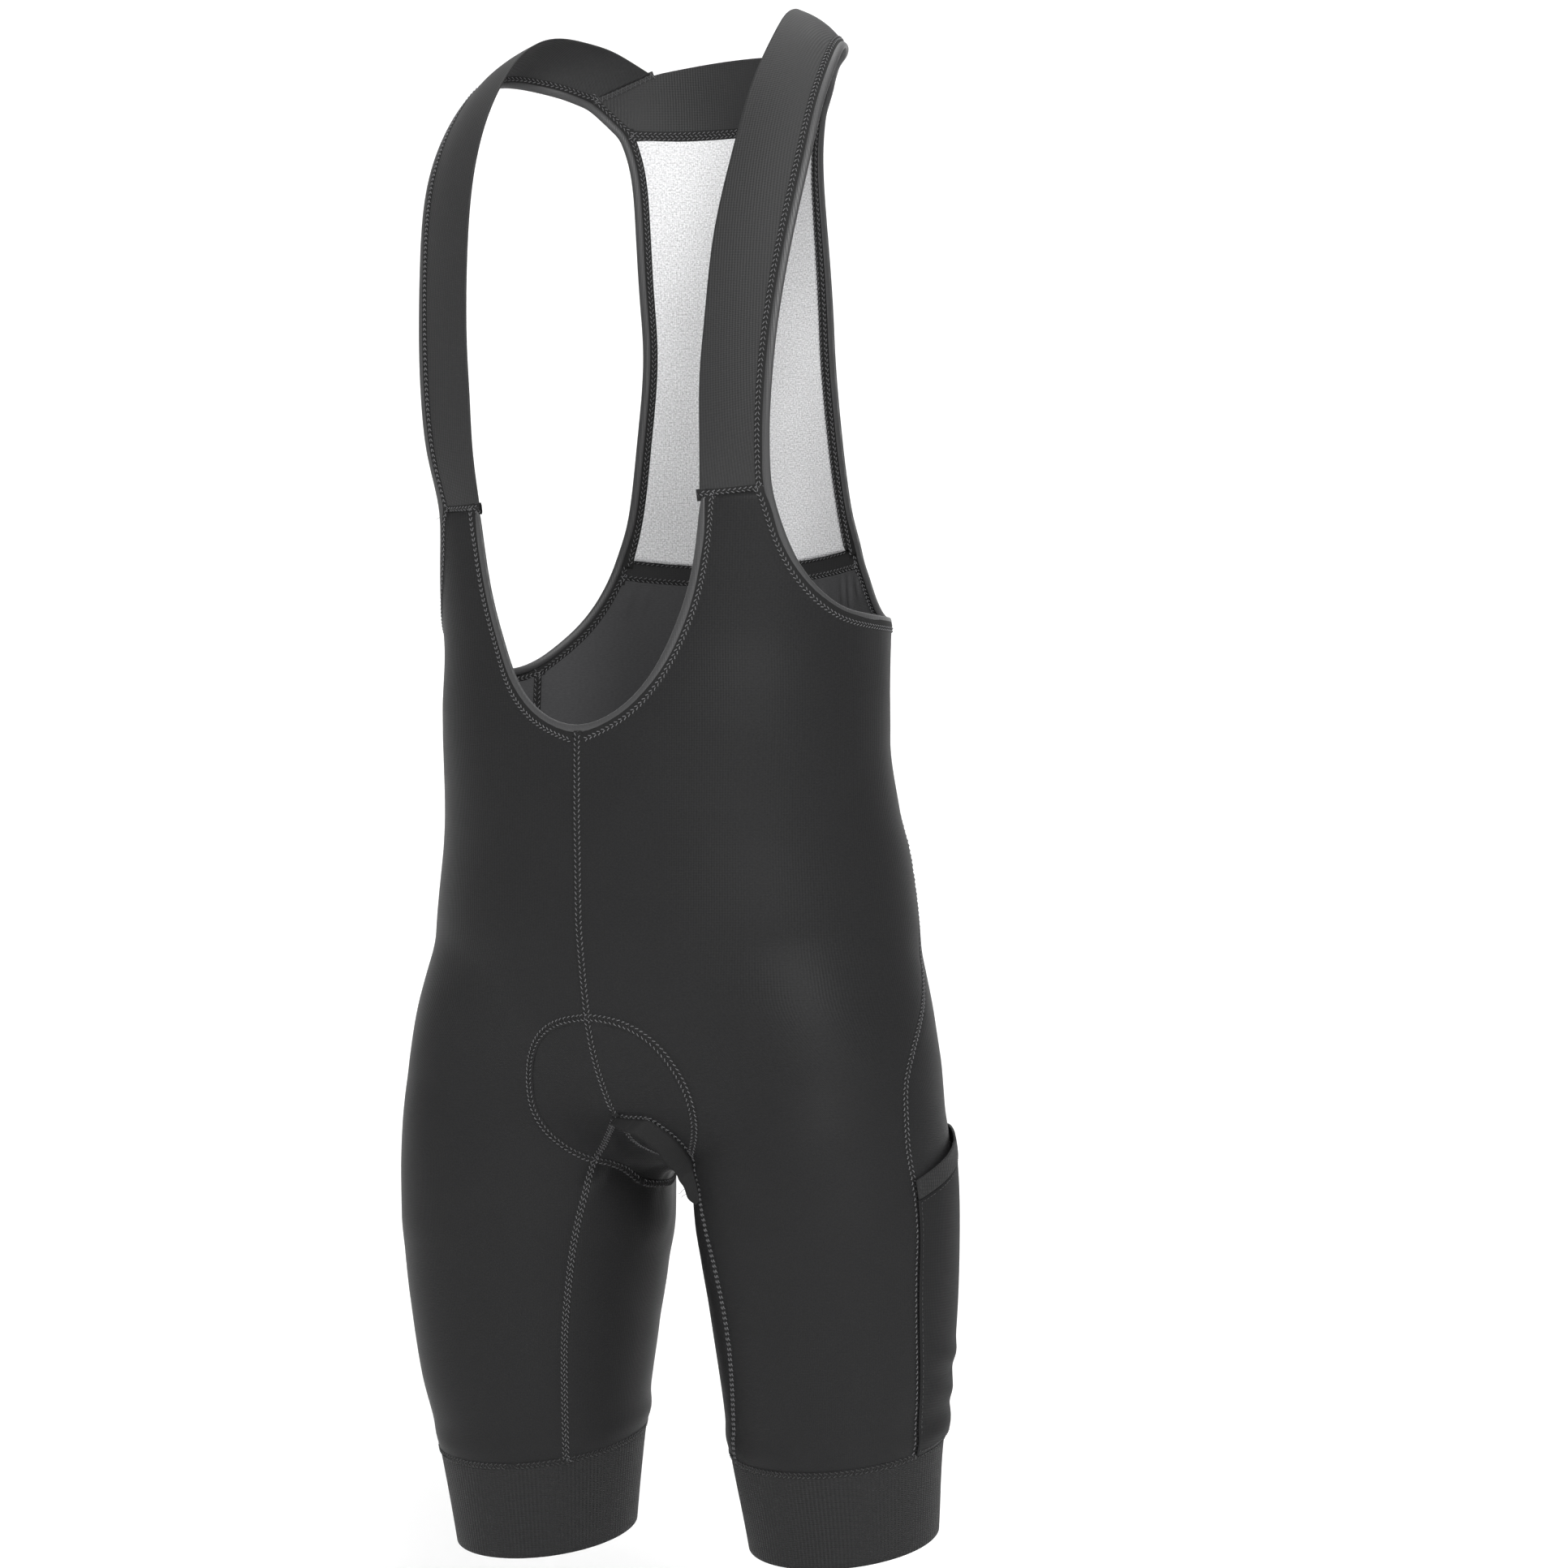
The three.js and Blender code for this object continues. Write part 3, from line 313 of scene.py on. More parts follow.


# Soft creases given as x y z on the wearer's left; side 0 is both sides.
# A positive height is a ridge and a negative one a trough
CREASES = {
    # side, width, height, points
    "the crotch": [
        (1, 4.5, -4.2, [(1, -65, -668), (10, -52, -681), (17, -34, -692), (20, -16, -700)]),
        (1, 6.0, 2.6, [(9, -62, -668), (21, -50, -682), (29, -32, -695)]),
        (1, 5.0, 2.4, [(5, -60, -674), (12, -51, -686), (16, -40, -697), (18, -24, -705)]),
        (1, 2.8, 1.2, [(10, -54, -683), (13, -50, -687), (14, -47, -690)]),
        (1, 2.6, 1.1, [(15, -43, -694), (16, -40, -697), (17, -37, -699)]),
        (-1, 5.0, -2.6, [(3, -62, -672), (12, -48, -684), (20, -30, -694)]),
    ],
    "under the pad": [
        (-1, 4.5, -1.5, [(16, -40, -698), (28, -34, -704), (42, -38, -707)]),
        (-1, 5.0, 1.0, [(14, -36, -706), (28, -32, -712), (44, -38, -714)]),
        (1, 4.0, -0.9, [(34, -44, -702), (48, -48, -708), (60, -58, -709)]),
    ],
    "hips and thighs": [
        (1, 16, -0.9, [(40, -88, -640), (78, -92, -648), (118, -80, -640)]),
        (-1, 18, -1.1, [(36, -88, -636), (74, -94, -642), (112, -82, -628)]),
        (1, 13, -0.7, [(62, -66, -700), (96, -72, -716), (128, -64, -720)]),
        (-1, 12, -0.8, [(58, -60, -712), (88, -68, -726), (120, -62, -728)]),
    ],
    "under the seat": [
        (1, 12, -2.4, [(22, 92, -668), (58, 92, -684), (96, 86, -684), (132, 66, -672)]),
        (1, 11, 1.2, [(28, 88, -690), (62, 88, -704), (98, 82, -706), (130, 62, -694)]),
        (-1, 13, -2.1, [(24, 92, -672), (62, 91, -690), (100, 84, -688), (136, 60, -678)]),
        (-1, 11, 1.1, [(30, 88, -694), (66, 86, -710), (102, 80, -708)]),
    ],
    "small of the back": [
        (1, 14, -1.3, [(6, 99, -452), (48, 94, -458), (92, 76, -450)]),
        (-1, 13, -1.1, [(10, 98, -440), (52, 93, -444), (96, 74, -438)]),
        (-1, 12, -0.9, [(0, 104, -474), (40, 102, -479), (78, 92, -472)]),
    ],
    "under the arms": [
        (1, 7, -0.9, [(128, 46, -378), (134, 40, -396), (137, 30, -420)]),
        (-1, 8, -1.0, [(130, 40, -398), (136, 30, -418), (139, 18, -446)]),
    ],
    "behind the knees": [
        (1, 9, -1.4, [(72, 72, -812), (102, 82, -820), (132, 74, -814)]),
        (-1, 9, -1.5, [(74, 72, -822), (104, 82, -828), (134, 72, -820)]),
        (1, 7, 0.9, [(80, 76, -832), (106, 80, -837), (128, 74, -832)]),
    ],
    "inner thighs": [
        (0, 10, -0.9, [(40, 10, -738), (44, 34, -750), (54, 56, -754)]),
        (0, 9, -0.7, [(46, -6, -776), (50, 22, -786), (60, 46, -788)]),
    ],
    "pockets": [
        (1, 5.5, 1.5, [(168, 2, -800), (171, 26, -803), (166, 52, -801)]),
        (1, 4.5, -1.1, [(168, 4, -812), (169, 28, -813), (164, 54, -811)]),
        (1, 4.5, 1.2, [(166, 6, -823), (167, 30, -825), (160, 56, -823)]),
        (1, 4.5, -1.0, [(166, 8, -835), (164, 34, -836), (158, 56, -834)]),
        (1, 5.0, 1.0, [(164, 8, -846), (162, 34, -848), (155, 56, -845)]),
        (-1, 6.5, 1.0, [(168, 2, -806), (170, 26, -810), (165, 50, -806)]),
        (-1, 6.0, -0.9, [(166, 4, -824), (167, 30, -828), (160, 54, -824)]),
        (-1, 6.0, 0.9, [(164, 6, -842), (163, 32, -845), (156, 54, -842)]),
    ],
    "gathers under the tape": [
        (1, 1.7, -1.0, [(69, 85, -335), (71, 84, -352)]),
        (1, 1.7, -1.2, [(75, 82, -334), (78, 80, -357)]),
        (1, 1.7, -0.9, [(81, 78, -334), (85, 75, -350)]),
        (1, 1.7, -0.6, [(52, 93, -337), (53, 93, -350)]),
        (-1, 1.7, -1.0, [(68, 86, -335), (70, 84, -350)]),
        (-1, 1.7, -1.1, [(76, 81, -334), (80, 79, -354)]),
        (-1, 1.7, -0.6, [(40, 97, -338), (41, 97, -352)]),
        (-1, 1.7, -0.5, [(12, 102, -339), (12, 101, -350)]),
    ],
}


def distance_to_line(p, line):
    """Nearest distance from each point to a line of points, and how far along it, 0 to 1."""
    line = np.array(line, float)
    lengths = np.linalg.norm(np.diff(line, axis=0), axis=1)
    before = np.concatenate([[0], np.cumsum(lengths)])
    nearest = np.full(len(p), 1e9)
    along = np.zeros(len(p))
    for n, length in enumerate(lengths):
        a, b = line[n], line[n + 1]
        t = np.clip((p - a) @ (b - a) / length**2, 0, 1)
        gap = np.linalg.norm(p - (a + t[:, None] * (b - a)), axis=1)
        closer = gap < nearest
        nearest[closer] = gap[closer]
        along[closer] = ((before[n] + t * length) / before[-1])[closer]
    return nearest, along


def crease_height(p):
    """How far the creases, and the cloth that puffs above each gripper band, lift the cloth."""
    height = np.zeros(len(p))
    for side, width, lift, line in sum(CREASES.values(), []):
        for sign in [side] if side else SIDES.values():
            placed = settle(np.array([(sign * x, y, z) for x, y, z in line], float))
            low, high = placed.min(0) - 3 * width, placed.max(0) + 3 * width
            near = np.all((p > low) & (p < high), axis=1)
            if not near.any():
                continue
            gap, along = distance_to_line(p[near], placed)
            fade = np.sin(np.pi * np.clip(0.04 + 0.92 * along, 0, 1)) ** 0.7
            height[near] += lift * fade * np.exp(-((gap / width) ** 2))
    for name, sign in SIDES.items():
        this_side = p[:, 0] * sign > 0
        above = p[:, 2] - HEM_SEAM[name] - HEM_LEAN * (p[:, 1] - LEG["back"](p[:, 2]))
        turn = np.arctan2(p[:, 1] - LEG["back"](p[:, 2]), sign * p[:, 0] - LEG["out"](p[:, 2]))
        uneven = HEM_PUFF + 0.35 * np.sin(3 * turn + 0.7) + 0.25 * np.sin(7 * turn + 2.1)
        fade = np.exp(-(((above - HEM_PUFF_UP) / HEM_PUFF_WIDTH) ** 2)) * (above > 0)
        height += uneven * fade * this_side
    return height


def added(name, data):
    """A new object in the scene."""
    obj = bpy.data.objects.new(name, data)
    bpy.context.scene.collection.objects.link(obj)
    return obj


def mesh_of(bm, name):
    """The bmesh as a mesh, when its shape is done."""
    mesh = bpy.data.meshes.new(name)
    bm.to_mesh(mesh)
    bm.free()
    return mesh


def made_with(obj, name):
    """The mesh that an object's modifiers or curve settings make. The object goes."""
    made = bpy.data.meshes.new_from_object(obj.evaluated_get(bpy.context.evaluated_depsgraph_get()))
    made.name = name
    bpy.data.objects.remove(obj)
    return made


def merged(node):
    """A copy of a solid with its corners joined, as a bmesh."""
    bm = bmesh.new()
    bm.from_mesh(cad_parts[node].data)
    bmesh.ops.remove_doubles(bm, verts=bm.verts, dist=2e-5)
    return bm


def paired(bm):
    """Turns pairs of triangles into four-sided faces."""
    bmesh.ops.join_triangles(
        bm, faces=bm.faces, angle_face_threshold=math.pi, angle_shape_threshold=math.pi
    )
    return bm


def outside_of(node, hollow):
    """The outer sheet of a cloth node, as quads, in a bmesh."""
    bm = merged(node)
    bm.normal_update()
    sheets, seen = [], set()
    for start in bm.faces:
        if start in seen:
            continue
        seen.add(start)
        group, waiting = [], [start]
        while waiting:
            face = waiting.pop()
            group.append(face)
            for edge in face.edges:
                if len(edge.link_faces) != 2 or edge.calc_face_angle(0) > math.radians(SHEET_TURN):
                    continue
                for other in edge.link_faces:
                    if other not in seen:
                        seen.add(other)
                        waiting.append(other)
        sheets.append(group)
    sheets.sort(key=lambda group: -sum(face.calc_area() for face in group))

    def outwardness(group):
        total = 0
        for face in group:
            middle = face.calc_center_median()
            total += face.calc_area() * face.normal.dot(middle - hollow(middle))
        return total

    kept = set(max(sheets[:2], key=outwardness))
    gone = [face for face in bm.faces if face not in kept]
    bmesh.ops.delete(bm, geom=gone, context="FACES")
    return paired(bm)


def hold_corners(bm):
    """Keeps the cut's corners when the edge is smoothed."""
    layer = bm.verts.layers.float.get("crease_vert") or bm.verts.layers.float.new("crease_vert")
    for vert in bm.verts:
        ends = [edge.other_vert(vert).co for edge in vert.link_edges if edge.is_boundary]
        if len(ends) != 2:
            continue
        turn = (vert.co - ends[0]).angle(ends[1] - vert.co, 0)
        if turn > math.radians(CORNER_TURN):
            vert[layer] = 1


def smoothed(bm, name, levels):
    """A finer mesh from a coarse one, its edges rounded between the held corners."""
    hold_corners(bm)
    obj = added(name + "_coarse", mesh_of(bm, name + "_coarse"))
    subdivision = obj.modifiers.new("finer", "SUBSURF")
    subdivision.levels = subdivision.render_levels = levels
    subdivision.boundary_smooth = "PRESERVE_CORNERS"
    return made_with(obj, name)


def places(mesh):
    flat = np.empty(len(mesh.vertices) * 3)
    mesh.vertices.foreach_get("co", flat)
    return flat.reshape(-1, 3) / MM


def place(mesh, p):
    mesh.vertices.foreach_set("co", (p * MM).ravel())
    mesh.update()


def rims_of(mesh):
    """The mesh's open edges, each as an ordered closed line of vertex numbers."""
    bm = bmesh.new()
    bm.from_mesh(mesh)
    loops, seen = [], set()
    for start in (edge for edge in bm.edges if edge.is_boundary):
        if start in seen:
            continue
        seen.add(start)
        line = [start.verts[0], start.verts[1]]
        while True:
            ahead = [e for e in line[-1].link_edges if e.is_boundary and e not in seen]
            if not ahead:
                break
            seen.add(ahead[0])
            line.append(ahead[0].other_vert(line[-1]))
        loops.append([vert.index for vert in line[:-1]])
    bm.free()
    return loops


def resampled(line, step, closed=False):
    """The same line with evenly spaced points."""
    line = np.array(line, float)
    if closed:
        line = np.vstack([line, line[:1]])
    lengths = np.linalg.norm(np.diff(line, axis=0), axis=1)
    along = np.concatenate([[0], np.cumsum(lengths)])
    count = max(int(round(along[-1] / step)), 2)
    wanted = np.linspace(0, along[-1], count + 1)
    points = np.stack([np.interp(wanted, along, line[:, axis]) for axis in range(3)], axis=1)
    return points[:-1] if closed else points


def eased(line, times, closed=False):
    """The same line with its small kinks rubbed out, its ends held."""
    line = line.copy()
    for _ in range(times):
        if closed:
            line = 0.5 * line + 0.25 * (np.roll(line, 1, axis=0) + np.roll(line, -1, axis=0))
        else:
            line[1:-1] = 0.5 * line[1:-1] + 0.25 * (line[:-2] + line[2:])
    return line


class Surface:
    """The finished cloth's outside, to lay trims and stitches on."""

    def __init__(self, meshes):
        points, polygons, first = [], [], 0
        for mesh in meshes:
            points.extend(vert.co.copy() for vert in mesh.vertices)
            polygons.extend([first + v for v in polygon.vertices] for polygon in mesh.polygons)
            first += len(mesh.vertices)
        self.tree = BVHTree.FromPolygons(points, polygons)

    def lay(self, points):
        laid, normals = np.empty_like(points), np.empty_like(points)
        for n, point in enumerate(points):
            found, normal, _, gap = self.tree.find_nearest(Vector(point) * MM)
            beyond = gap > PAST_THE_EDGE * MM
            laid[n] = point if beyond else np.array(found) / MM
            normals[n] = normal
        return laid, normals

    def nearest(self, points):
        return np.array([self.tree.find_nearest(Vector(point) * MM)[0] for point in points]) / MM


def tree_of(points):
    tree = KDTree(len(points))
    for n, point in enumerate(points):
        tree.insert(point, n)
    tree.balance()
    return tree


def longest_run(line, near):
    """The longest unbroken part of a closed line that is near something, and if it is all of it."""
    count = len(near)
    if near.all():
        return line, True
    start = int(np.argmin(near))
    best, run = [], []
    for n in [(start + k) % count for k in range(count + 1)]:
        if near[n]:
            run.append(n)
            continue
        if len(run) > len(best):
            best = run
        run = []
    return line[best], False


# Which way is out of the cloth, from a point inside each piece's hollow
def hollow_of_body(sign):
    def hollow(centre):
        x, y = leg_middle(sign, np.array(centre.z / MM))
        return Vector((float(x) * MM, float(y) * MM, centre.z))

    return hollow


def hollow_of_back(centre):
    return Vector((0, 0, centre.z))


def hollow_of_strap(centre):
    return Vector((0, 0, -0.12))


# Every cloth piece: how its outside is found, how fine it is, its wall and its material slot
CLOTH = {}
for side_name, side_sign in SIDES.items():
    on_body = hollow_of_body(side_sign)
    CLOTH["front_" + side_name] = (on_body, 3, KNIT_WALL, "main_knit")
    CLOTH["back_" + side_name] = (on_body, 3, KNIT_WALL, "main_knit")
    CLOTH["inner_" + side_name] = (on_body, 3, KNIT_WALL, "main_knit")
    CLOTH["hem_band_" + side_name] = (on_body, 2, ELASTIC_WALL, "gripper_elastic")
    CLOTH["pocket_" + side_name] = (on_body, 3, POCKET_WALL, "pocket_knit")
    CLOTH["pocket_band_" + side_name] = (on_body, 3, ELASTIC_WALL, "pocket_elastic")
    CLOTH["strap_" + side_name] = (hollow_of_strap, 3, KNIT_WALL, "strap_elastic")
CLOTH["yoke"] = (hollow_of_back, 3, KNIT_WALL, "strap_elastic")
CLOTH["back_mesh"] = (hollow_of_back, 3, MESH_WALL, "mesh")
CLOTH["mesh_edge_strip"] = (hollow_of_back, 3, MESH_WALL, "tape_knit")
CLOTH["back_tape"] = (hollow_of_back, 3, KNIT_WALL, "tape_knit")

ON_BODY = ("front_", "back_left", "back_right", "inner_", "hem_band_", "back_tape")
LIFTED = ("pocket_",)

sheets = {}
for node, (hollow, levels, _, _) in CLOTH.items():
    sheets[node] = smoothed(outside_of(node, hollow), node + "_cloth", levels)
    if node.startswith(ON_BODY):
        place(sheets[node], settle(places(sheets[node])))

rims = {
    node: [places(mesh)[loop] for loop in rims_of(mesh)]
    for node, mesh in sheets.items()
}


def seam(one, other, reach=1.6):
    """The line along which two pieces are sewn together."""
    tree = tree_of(np.vstack([resampled(rim, 0.4, closed=True) for rim in rims[other]]))
    found = []
    for rim in rims[one]:
        points = resampled(rim, RIM_STEP, closed=True)
        near = np.array([tree.find(point)[2] < reach for point in points])
        found.append(longest_run(points, near))
    line, closed = max(found, key=lambda entry: len(entry[0]))
    if len(line) < 5:
        raise ValueError(f"{one} and {other} have no seam within {reach} mm")
    return eased(resampled(line, LINE_STEP, closed), 3, closed), closed


def top_rim(node):
    """The upper edge of a ring of cloth."""
    line = max(rims[node], key=lambda rim: rim[:, 2].mean())
    return eased(resampled(line, LINE_STEP, closed=True), 3, True), True


SEAMS = {
    "front": [seam("front_left", "front_right")],
    "seat": [seam("back_left", "back_right")],
    "sides": [seam("front_" + s, "back_" + s) for s in SIDES],
    "inner_front": [seam("inner_" + s, "front_" + s) for s in SIDES],
    "inner_back": [seam("inner_" + s, "back_" + s) for s in SIDES],
    "crotch": [seam("inner_left", "inner_right")],
    "hems": [top_rim("hem_band_" + s) for s in SIDES],
    "straps": [seam("strap_" + s, "front_" + s, 2.8) for s in SIDES],
    "yoke": [seam("yoke", "back_mesh")],
    "yoke_ends": [seam("yoke", "strap_" + s, 2.6) for s in SIDES],
    "tape_top": [seam("back_tape", "back_mesh")],
    "tape_bottom": [seam("back_tape", "back_left"), seam("back_tape", "back_right")],
    "strip": [seam("mesh_edge_strip", "back_mesh")],
}


def pucker_height(p):
    """The shallow furrow of each sewn seam, and the small uneven ripples beside it."""
    height = np.zeros(len(p))
    for name in ("front", "seat", "sides", "inner_front", "inner_back", "crotch"):
        for line, _ in SEAMS[name]:
            tree = tree_of(line)
            low, high = line.min(0) - SEAM_REACH, line.max(0) + SEAM_REACH
            for k in np.flatnonzero(np.all((p > low) & (p < high), axis=1)):
                _, n, gap = tree.find(p[k])
                if gap > SEAM_REACH:
                    continue
                along = LINE_STEP * n
                ripple = math.sin(along / 1.55 + 1.3 * math.sin(along / 11)) * math.sin(along / 23 + 1)
                height[k] += SEAM_RIPPLE * ripple * math.exp(-((gap / SEAM_RIPPLE_WIDTH) ** 2))
                height[k] -= SEAM_FURROW * math.exp(-((gap / SEAM_FURROW_WIDTH) ** 2))
    return height


def worn(p, extra_height=0.0):
    """Points of the smooth body, moved with the creases and drawn up between the legs."""
    height = crease_height(p) + extra_height
    moved = p + body_normal(p) * height[:, None]
    sideways = (p[:, 0] / CROTCH_RAISE_ACROSS) ** 2
    upward = ((p[:, 2] - CROTCH_LEVEL) / CROTCH_RAISE_DEEP) ** 2
    moved[:, 2] += CROTCH_RAISE * np.exp(-sideways - upward)
    return moved


for node, mesh in sheets.items():
    if not node.startswith(ON_BODY + LIFTED):
        continue
    p = places(mesh)
    puckered = node.startswith(("front_", "back_left", "back_right", "inner_"))
    place(mesh, worn(p, pucker_height(p) if puckered else 0.0))
for name in ("front", "seat", "sides", "inner_front", "inner_back", "crotch", "hems"):
    SEAMS[name] = [(worn(line), closed) for line, closed in SEAMS[name]]

surface = Surface(sheets.values())


# Materials


def node_group(name, inputs, outputs):
    group = bpy.data.node_groups.new(name, "ShaderNodeTree")
    for socket, kind, value in inputs:
        made = group.interface.new_socket(socket, in_out="INPUT", socket_type=kind)
        made.default_value = value
    for socket, kind in outputs:
        group.interface.new_socket(socket, in_out="OUTPUT", socket_type=kind)
    return group, group.nodes.new("NodeGroupInput"), group.nodes.new("NodeGroupOutput")


def math_node(nodes, links, operation, a, b=None):
    node = nodes.new("ShaderNodeMath")
    node.operation = operation
    for socket, value in zip(node.inputs, (a, b)):
        if value is None:
            continue
        if isinstance(value, (int, float)):
            socket.default_value = value
        else:
            links.new(value, socket)
    return node.outputs[0]


def make_knit_group():
    """Fine knit: stitch columns and courses from the piece's own UV, in metres, with soft mottling."""
    group, source, result = node_group(
        "Fine knit",
        [
            ("Colour", "NodeSocketColor", (0.03, 0.03, 0.03, 1)),
            ("Columns per metre", "NodeSocketFloat", 900.0),
            ("Courses per metre", "NodeSocketFloat", 1200.0),
            ("Mottle", "NodeSocketFloat", 0.12),
            ("Grain", "NodeSocketFloat", 0.3),
        ],
        [("Colour", "NodeSocketColor"), ("Height", "NodeSocketFloat"), ("Mask", "NodeSocketFloat")],
    )
    nodes, links = group.nodes, group.links
    uv = nodes.new("ShaderNodeUVMap")
    uv.uv_map = "cut"
    split = nodes.new("ShaderNodeSeparateXYZ")
    links.new(uv.outputs["UV"], split.inputs[0])
    column = math_node(nodes, links, "MULTIPLY", split.outputs["X"], source.outputs["Columns per metre"])
    course = math_node(nodes, links, "MULTIPLY", split.outputs["Y"], source.outputs["Courses per metre"])
    column_wave = math_node(nodes, links, "SINE", math_node(nodes, links, "MULTIPLY", column, math.tau))
    course_wave = math_node(nodes, links, "SINE", math_node(nodes, links, "MULTIPLY", course, math.tau))
    joined = nodes.new("ShaderNodeCombineXYZ")
    links.new(column, joined.inputs["X"])
    links.new(course, joined.inputs["Y"])
    speckle = nodes.new("ShaderNodeTexNoise")
    speckle.inputs["Scale"].default_value = 1.1
    speckle.inputs["Detail"].default_value = 2
    links.new(joined.outputs[0], speckle.inputs["Vector"])
    broad = nodes.new("ShaderNodeTexNoise")
    broad.inputs["Scale"].default_value = 26
    broad.inputs["Detail"].default_value = 3
    links.new(uv.outputs["UV"], broad.inputs["Vector"])
    ribs = math_node(nodes, links, "MULTIPLY_ADD", column_wave, 0.3)
    ribs.node.inputs[2].default_value = 0.5
    height = math_node(nodes, links, "ADD", ribs, math_node(nodes, links, "MULTIPLY", course_wave, 0.2))
    links.new(height, result.inputs["Height"])
    speck = math_node(nodes, links, "SUBTRACT", speckle.outputs["Fac"], 0.5)
    speck = math_node(nodes, links, "MULTIPLY", speck, source.outputs["Grain"])
    cloud = math_node(nodes, links, "SUBTRACT", broad.outputs["Fac"], 0.5)
    cloud = math_node(nodes, links, "MULTIPLY", cloud, source.outputs["Mottle"])
    factor = math_node(nodes, links, "ADD", math_node(nodes, links, "ADD", speck, cloud), 1.0)
    scaled = nodes.new("ShaderNodeVectorMath")
    scaled.operation = "SCALE"
    links.new(source.outputs["Colour"], scaled.inputs[0])
    links.new(factor, scaled.inputs["Scale"])
    links.new(scaled.outputs[0], result.inputs["Colour"])
    links.new(broad.outputs["Fac"], result.inputs["Mask"])
    return group


KNIT_GROUP = make_knit_group()


def cloth_material(name, colour, look):
    """A knit or elastic cloth. look holds the knit's scale and the gloss of its yarn."""
    material = bpy.data.materials.new(name)
    material.use_nodes = True
    nodes, links = material.node_tree.nodes, material.node_tree.links
    shader = nodes["Principled BSDF"]
    knit = nodes.new("ShaderNodeGroup")
    knit.node_tree = KNIT_GROUP
    knit.inputs["Colour"].default_value = (*colour, 1)
    knit.inputs["Columns per metre"].default_value = look["columns"]
    knit.inputs["Courses per metre"].default_value = look["courses"]
    knit.inputs["Mottle"].default_value = look.get("mottle", 0.12)
    knit.inputs["Grain"].default_value = look.get("grain", 0.3)
    links.new(knit.outputs["Colour"], shader.inputs["Base Color"])
    bump = nodes.new("ShaderNodeBump")
    bump.inputs["Strength"].default_value = look.get("bump", 0.35)
    bump.inputs["Distance"].default_value = look.get("depth", 0.0003)
    links.new(knit.outputs["Height"], bump.inputs["Height"])
    links.new(bump.outputs["Normal"], shader.inputs["Normal"])
    rough = nodes.new("ShaderNodeMapRange")
    rough.inputs["To Min"].default_value = look["rough"] - 0.05
    rough.inputs["To Max"].default_value = look["rough"] + 0.05
    links.new(knit.outputs["Mask"], rough.inputs["Value"])
    links.new(rough.outputs["Result"], shader.inputs["Roughness"])
    shader.inputs["Specular IOR Level"].default_value = look.get("specular", 0.35)
    shader.inputs["Sheen Weight"].default_value = look.get("sheen", 0.25)
    shader.inputs["Sheen Roughness"].default_value = 0.4
    return material


MATERIALS = {
    "main_knit": cloth_material(
        "satin knit",
        (0.019, 0.019, 0.0195),
        {
            "columns": 800, "courses": 1000, "rough": 0.46,
            "grain": 0.8, "sheen": 0.0, "specular": 0.08,
        },
    ),
    "gripper_elastic": cloth_material(
        "ribbed gripper elastic",
        (0.0125, 0.0125, 0.013),
        {"columns": 400, "courses": 900, "rough": 0.7, "bump": 0.8, "depth": 0.0009, "sheen": 0.02},
    ),
    "strap_elastic": cloth_material(
        "strap elastic",
        (0.0205, 0.0205, 0.021),
        {
            "columns": 620, "courses": 950, "rough": 0.62, "bump": 0.5,
            "depth": 0.0004, "grain": 0.45, "sheen": 0.03,
        },
    ),
    "mesh": cloth_material(
        "light mesh",
        (0.7, 0.7, 0.71),
        {"columns": 800, "courses": 800, "rough": 0.85, "grain": 1.5, "bump": 0.6, "sheen": 0.0},
    ),
    "tape_knit": cloth_material(
        "flat tape",
        (0.013, 0.013, 0.0135),
        {"columns": 700, "courses": 1200, "rough": 0.7, "sheen": 0.02},
    ),
    "pocket_knit": cloth_material(
        "pocket knit",
        (0.0155, 0.0155, 0.016),
        {
            "columns": 900, "courses": 620, "rough": 0.6, "grain": 0.35,
            "depth": 0.0004, "sheen": 0.0, "specular": 0.1,
        },
    ),
    "pocket_elastic": cloth_material(
        "heathered elastic",
        (0.0135, 0.0135, 0.014),
        {
            "columns": 500, "courses": 500, "rough": 0.72, "grain": 1.3,
            "bump": 0.8, "depth": 0.0006, "sheen": 0.02,
        },
    ),
    "binding": cloth_material(
        "folded binding",
        (0.042, 0.042, 0.043),
        {
            "columns": 600, "courses": 1000, "rough": 0.46,
            "grain": 0.4, "sheen": 0.1, "specular": 0.5,
        },
    ),
    "knit_inside": cloth_material(
        "brushed inside",
        (0.064, 0.064, 0.066),
        {
            "columns": 500, "courses": 1400, "rough": 0.8,
            "grain": 0.5, "sheen": 0.05, "specular": 0.1,
        },
    ),
    # Near-black band: partly the seam's own dark tone, partly painted shade, its margins standing in for
    # the shadow lines beside the stitching; on the crotch flap it is painted shade
    "seam": cloth_material(
        "seam band and painted shade",
        (0.006, 0.006, 0.0062),
        {"columns": 900, "courses": 700, "rough": 0.75, "sheen": 0.01},
    ),
    "dark_thread": cloth_material(
        "dark thread",
        (0.035, 0.035, 0.036),
        {"columns": 2500, "courses": 2500, "rough": 0.6, "grain": 0.6},
    ),
    "thread": cloth_material(
        "sewing thread",
        (0.15, 0.15, 0.155),
        {"columns": 2500, "courses": 2500, "rough": 0.55, "grain": 0.6, "sheen": 0.1},
    ),
}


INSIDE_OF = {"main_knit": "knit_inside"}


def corners_of(mesh):
    """The vertex number at each corner of each face."""
    corners = np.empty(len(mesh.loops), int)
    mesh.loops.foreach_get("vertex_index", corners)
    return corners


def write_cut(mesh, across, up):
    """Writes the UV map in metres, from millimetres at each corner."""
    layer = mesh.uv_layers.new(name="cut")
    layer.data.foreach_set("uv", (np.stack([across, up], axis=1) * MM).ravel())


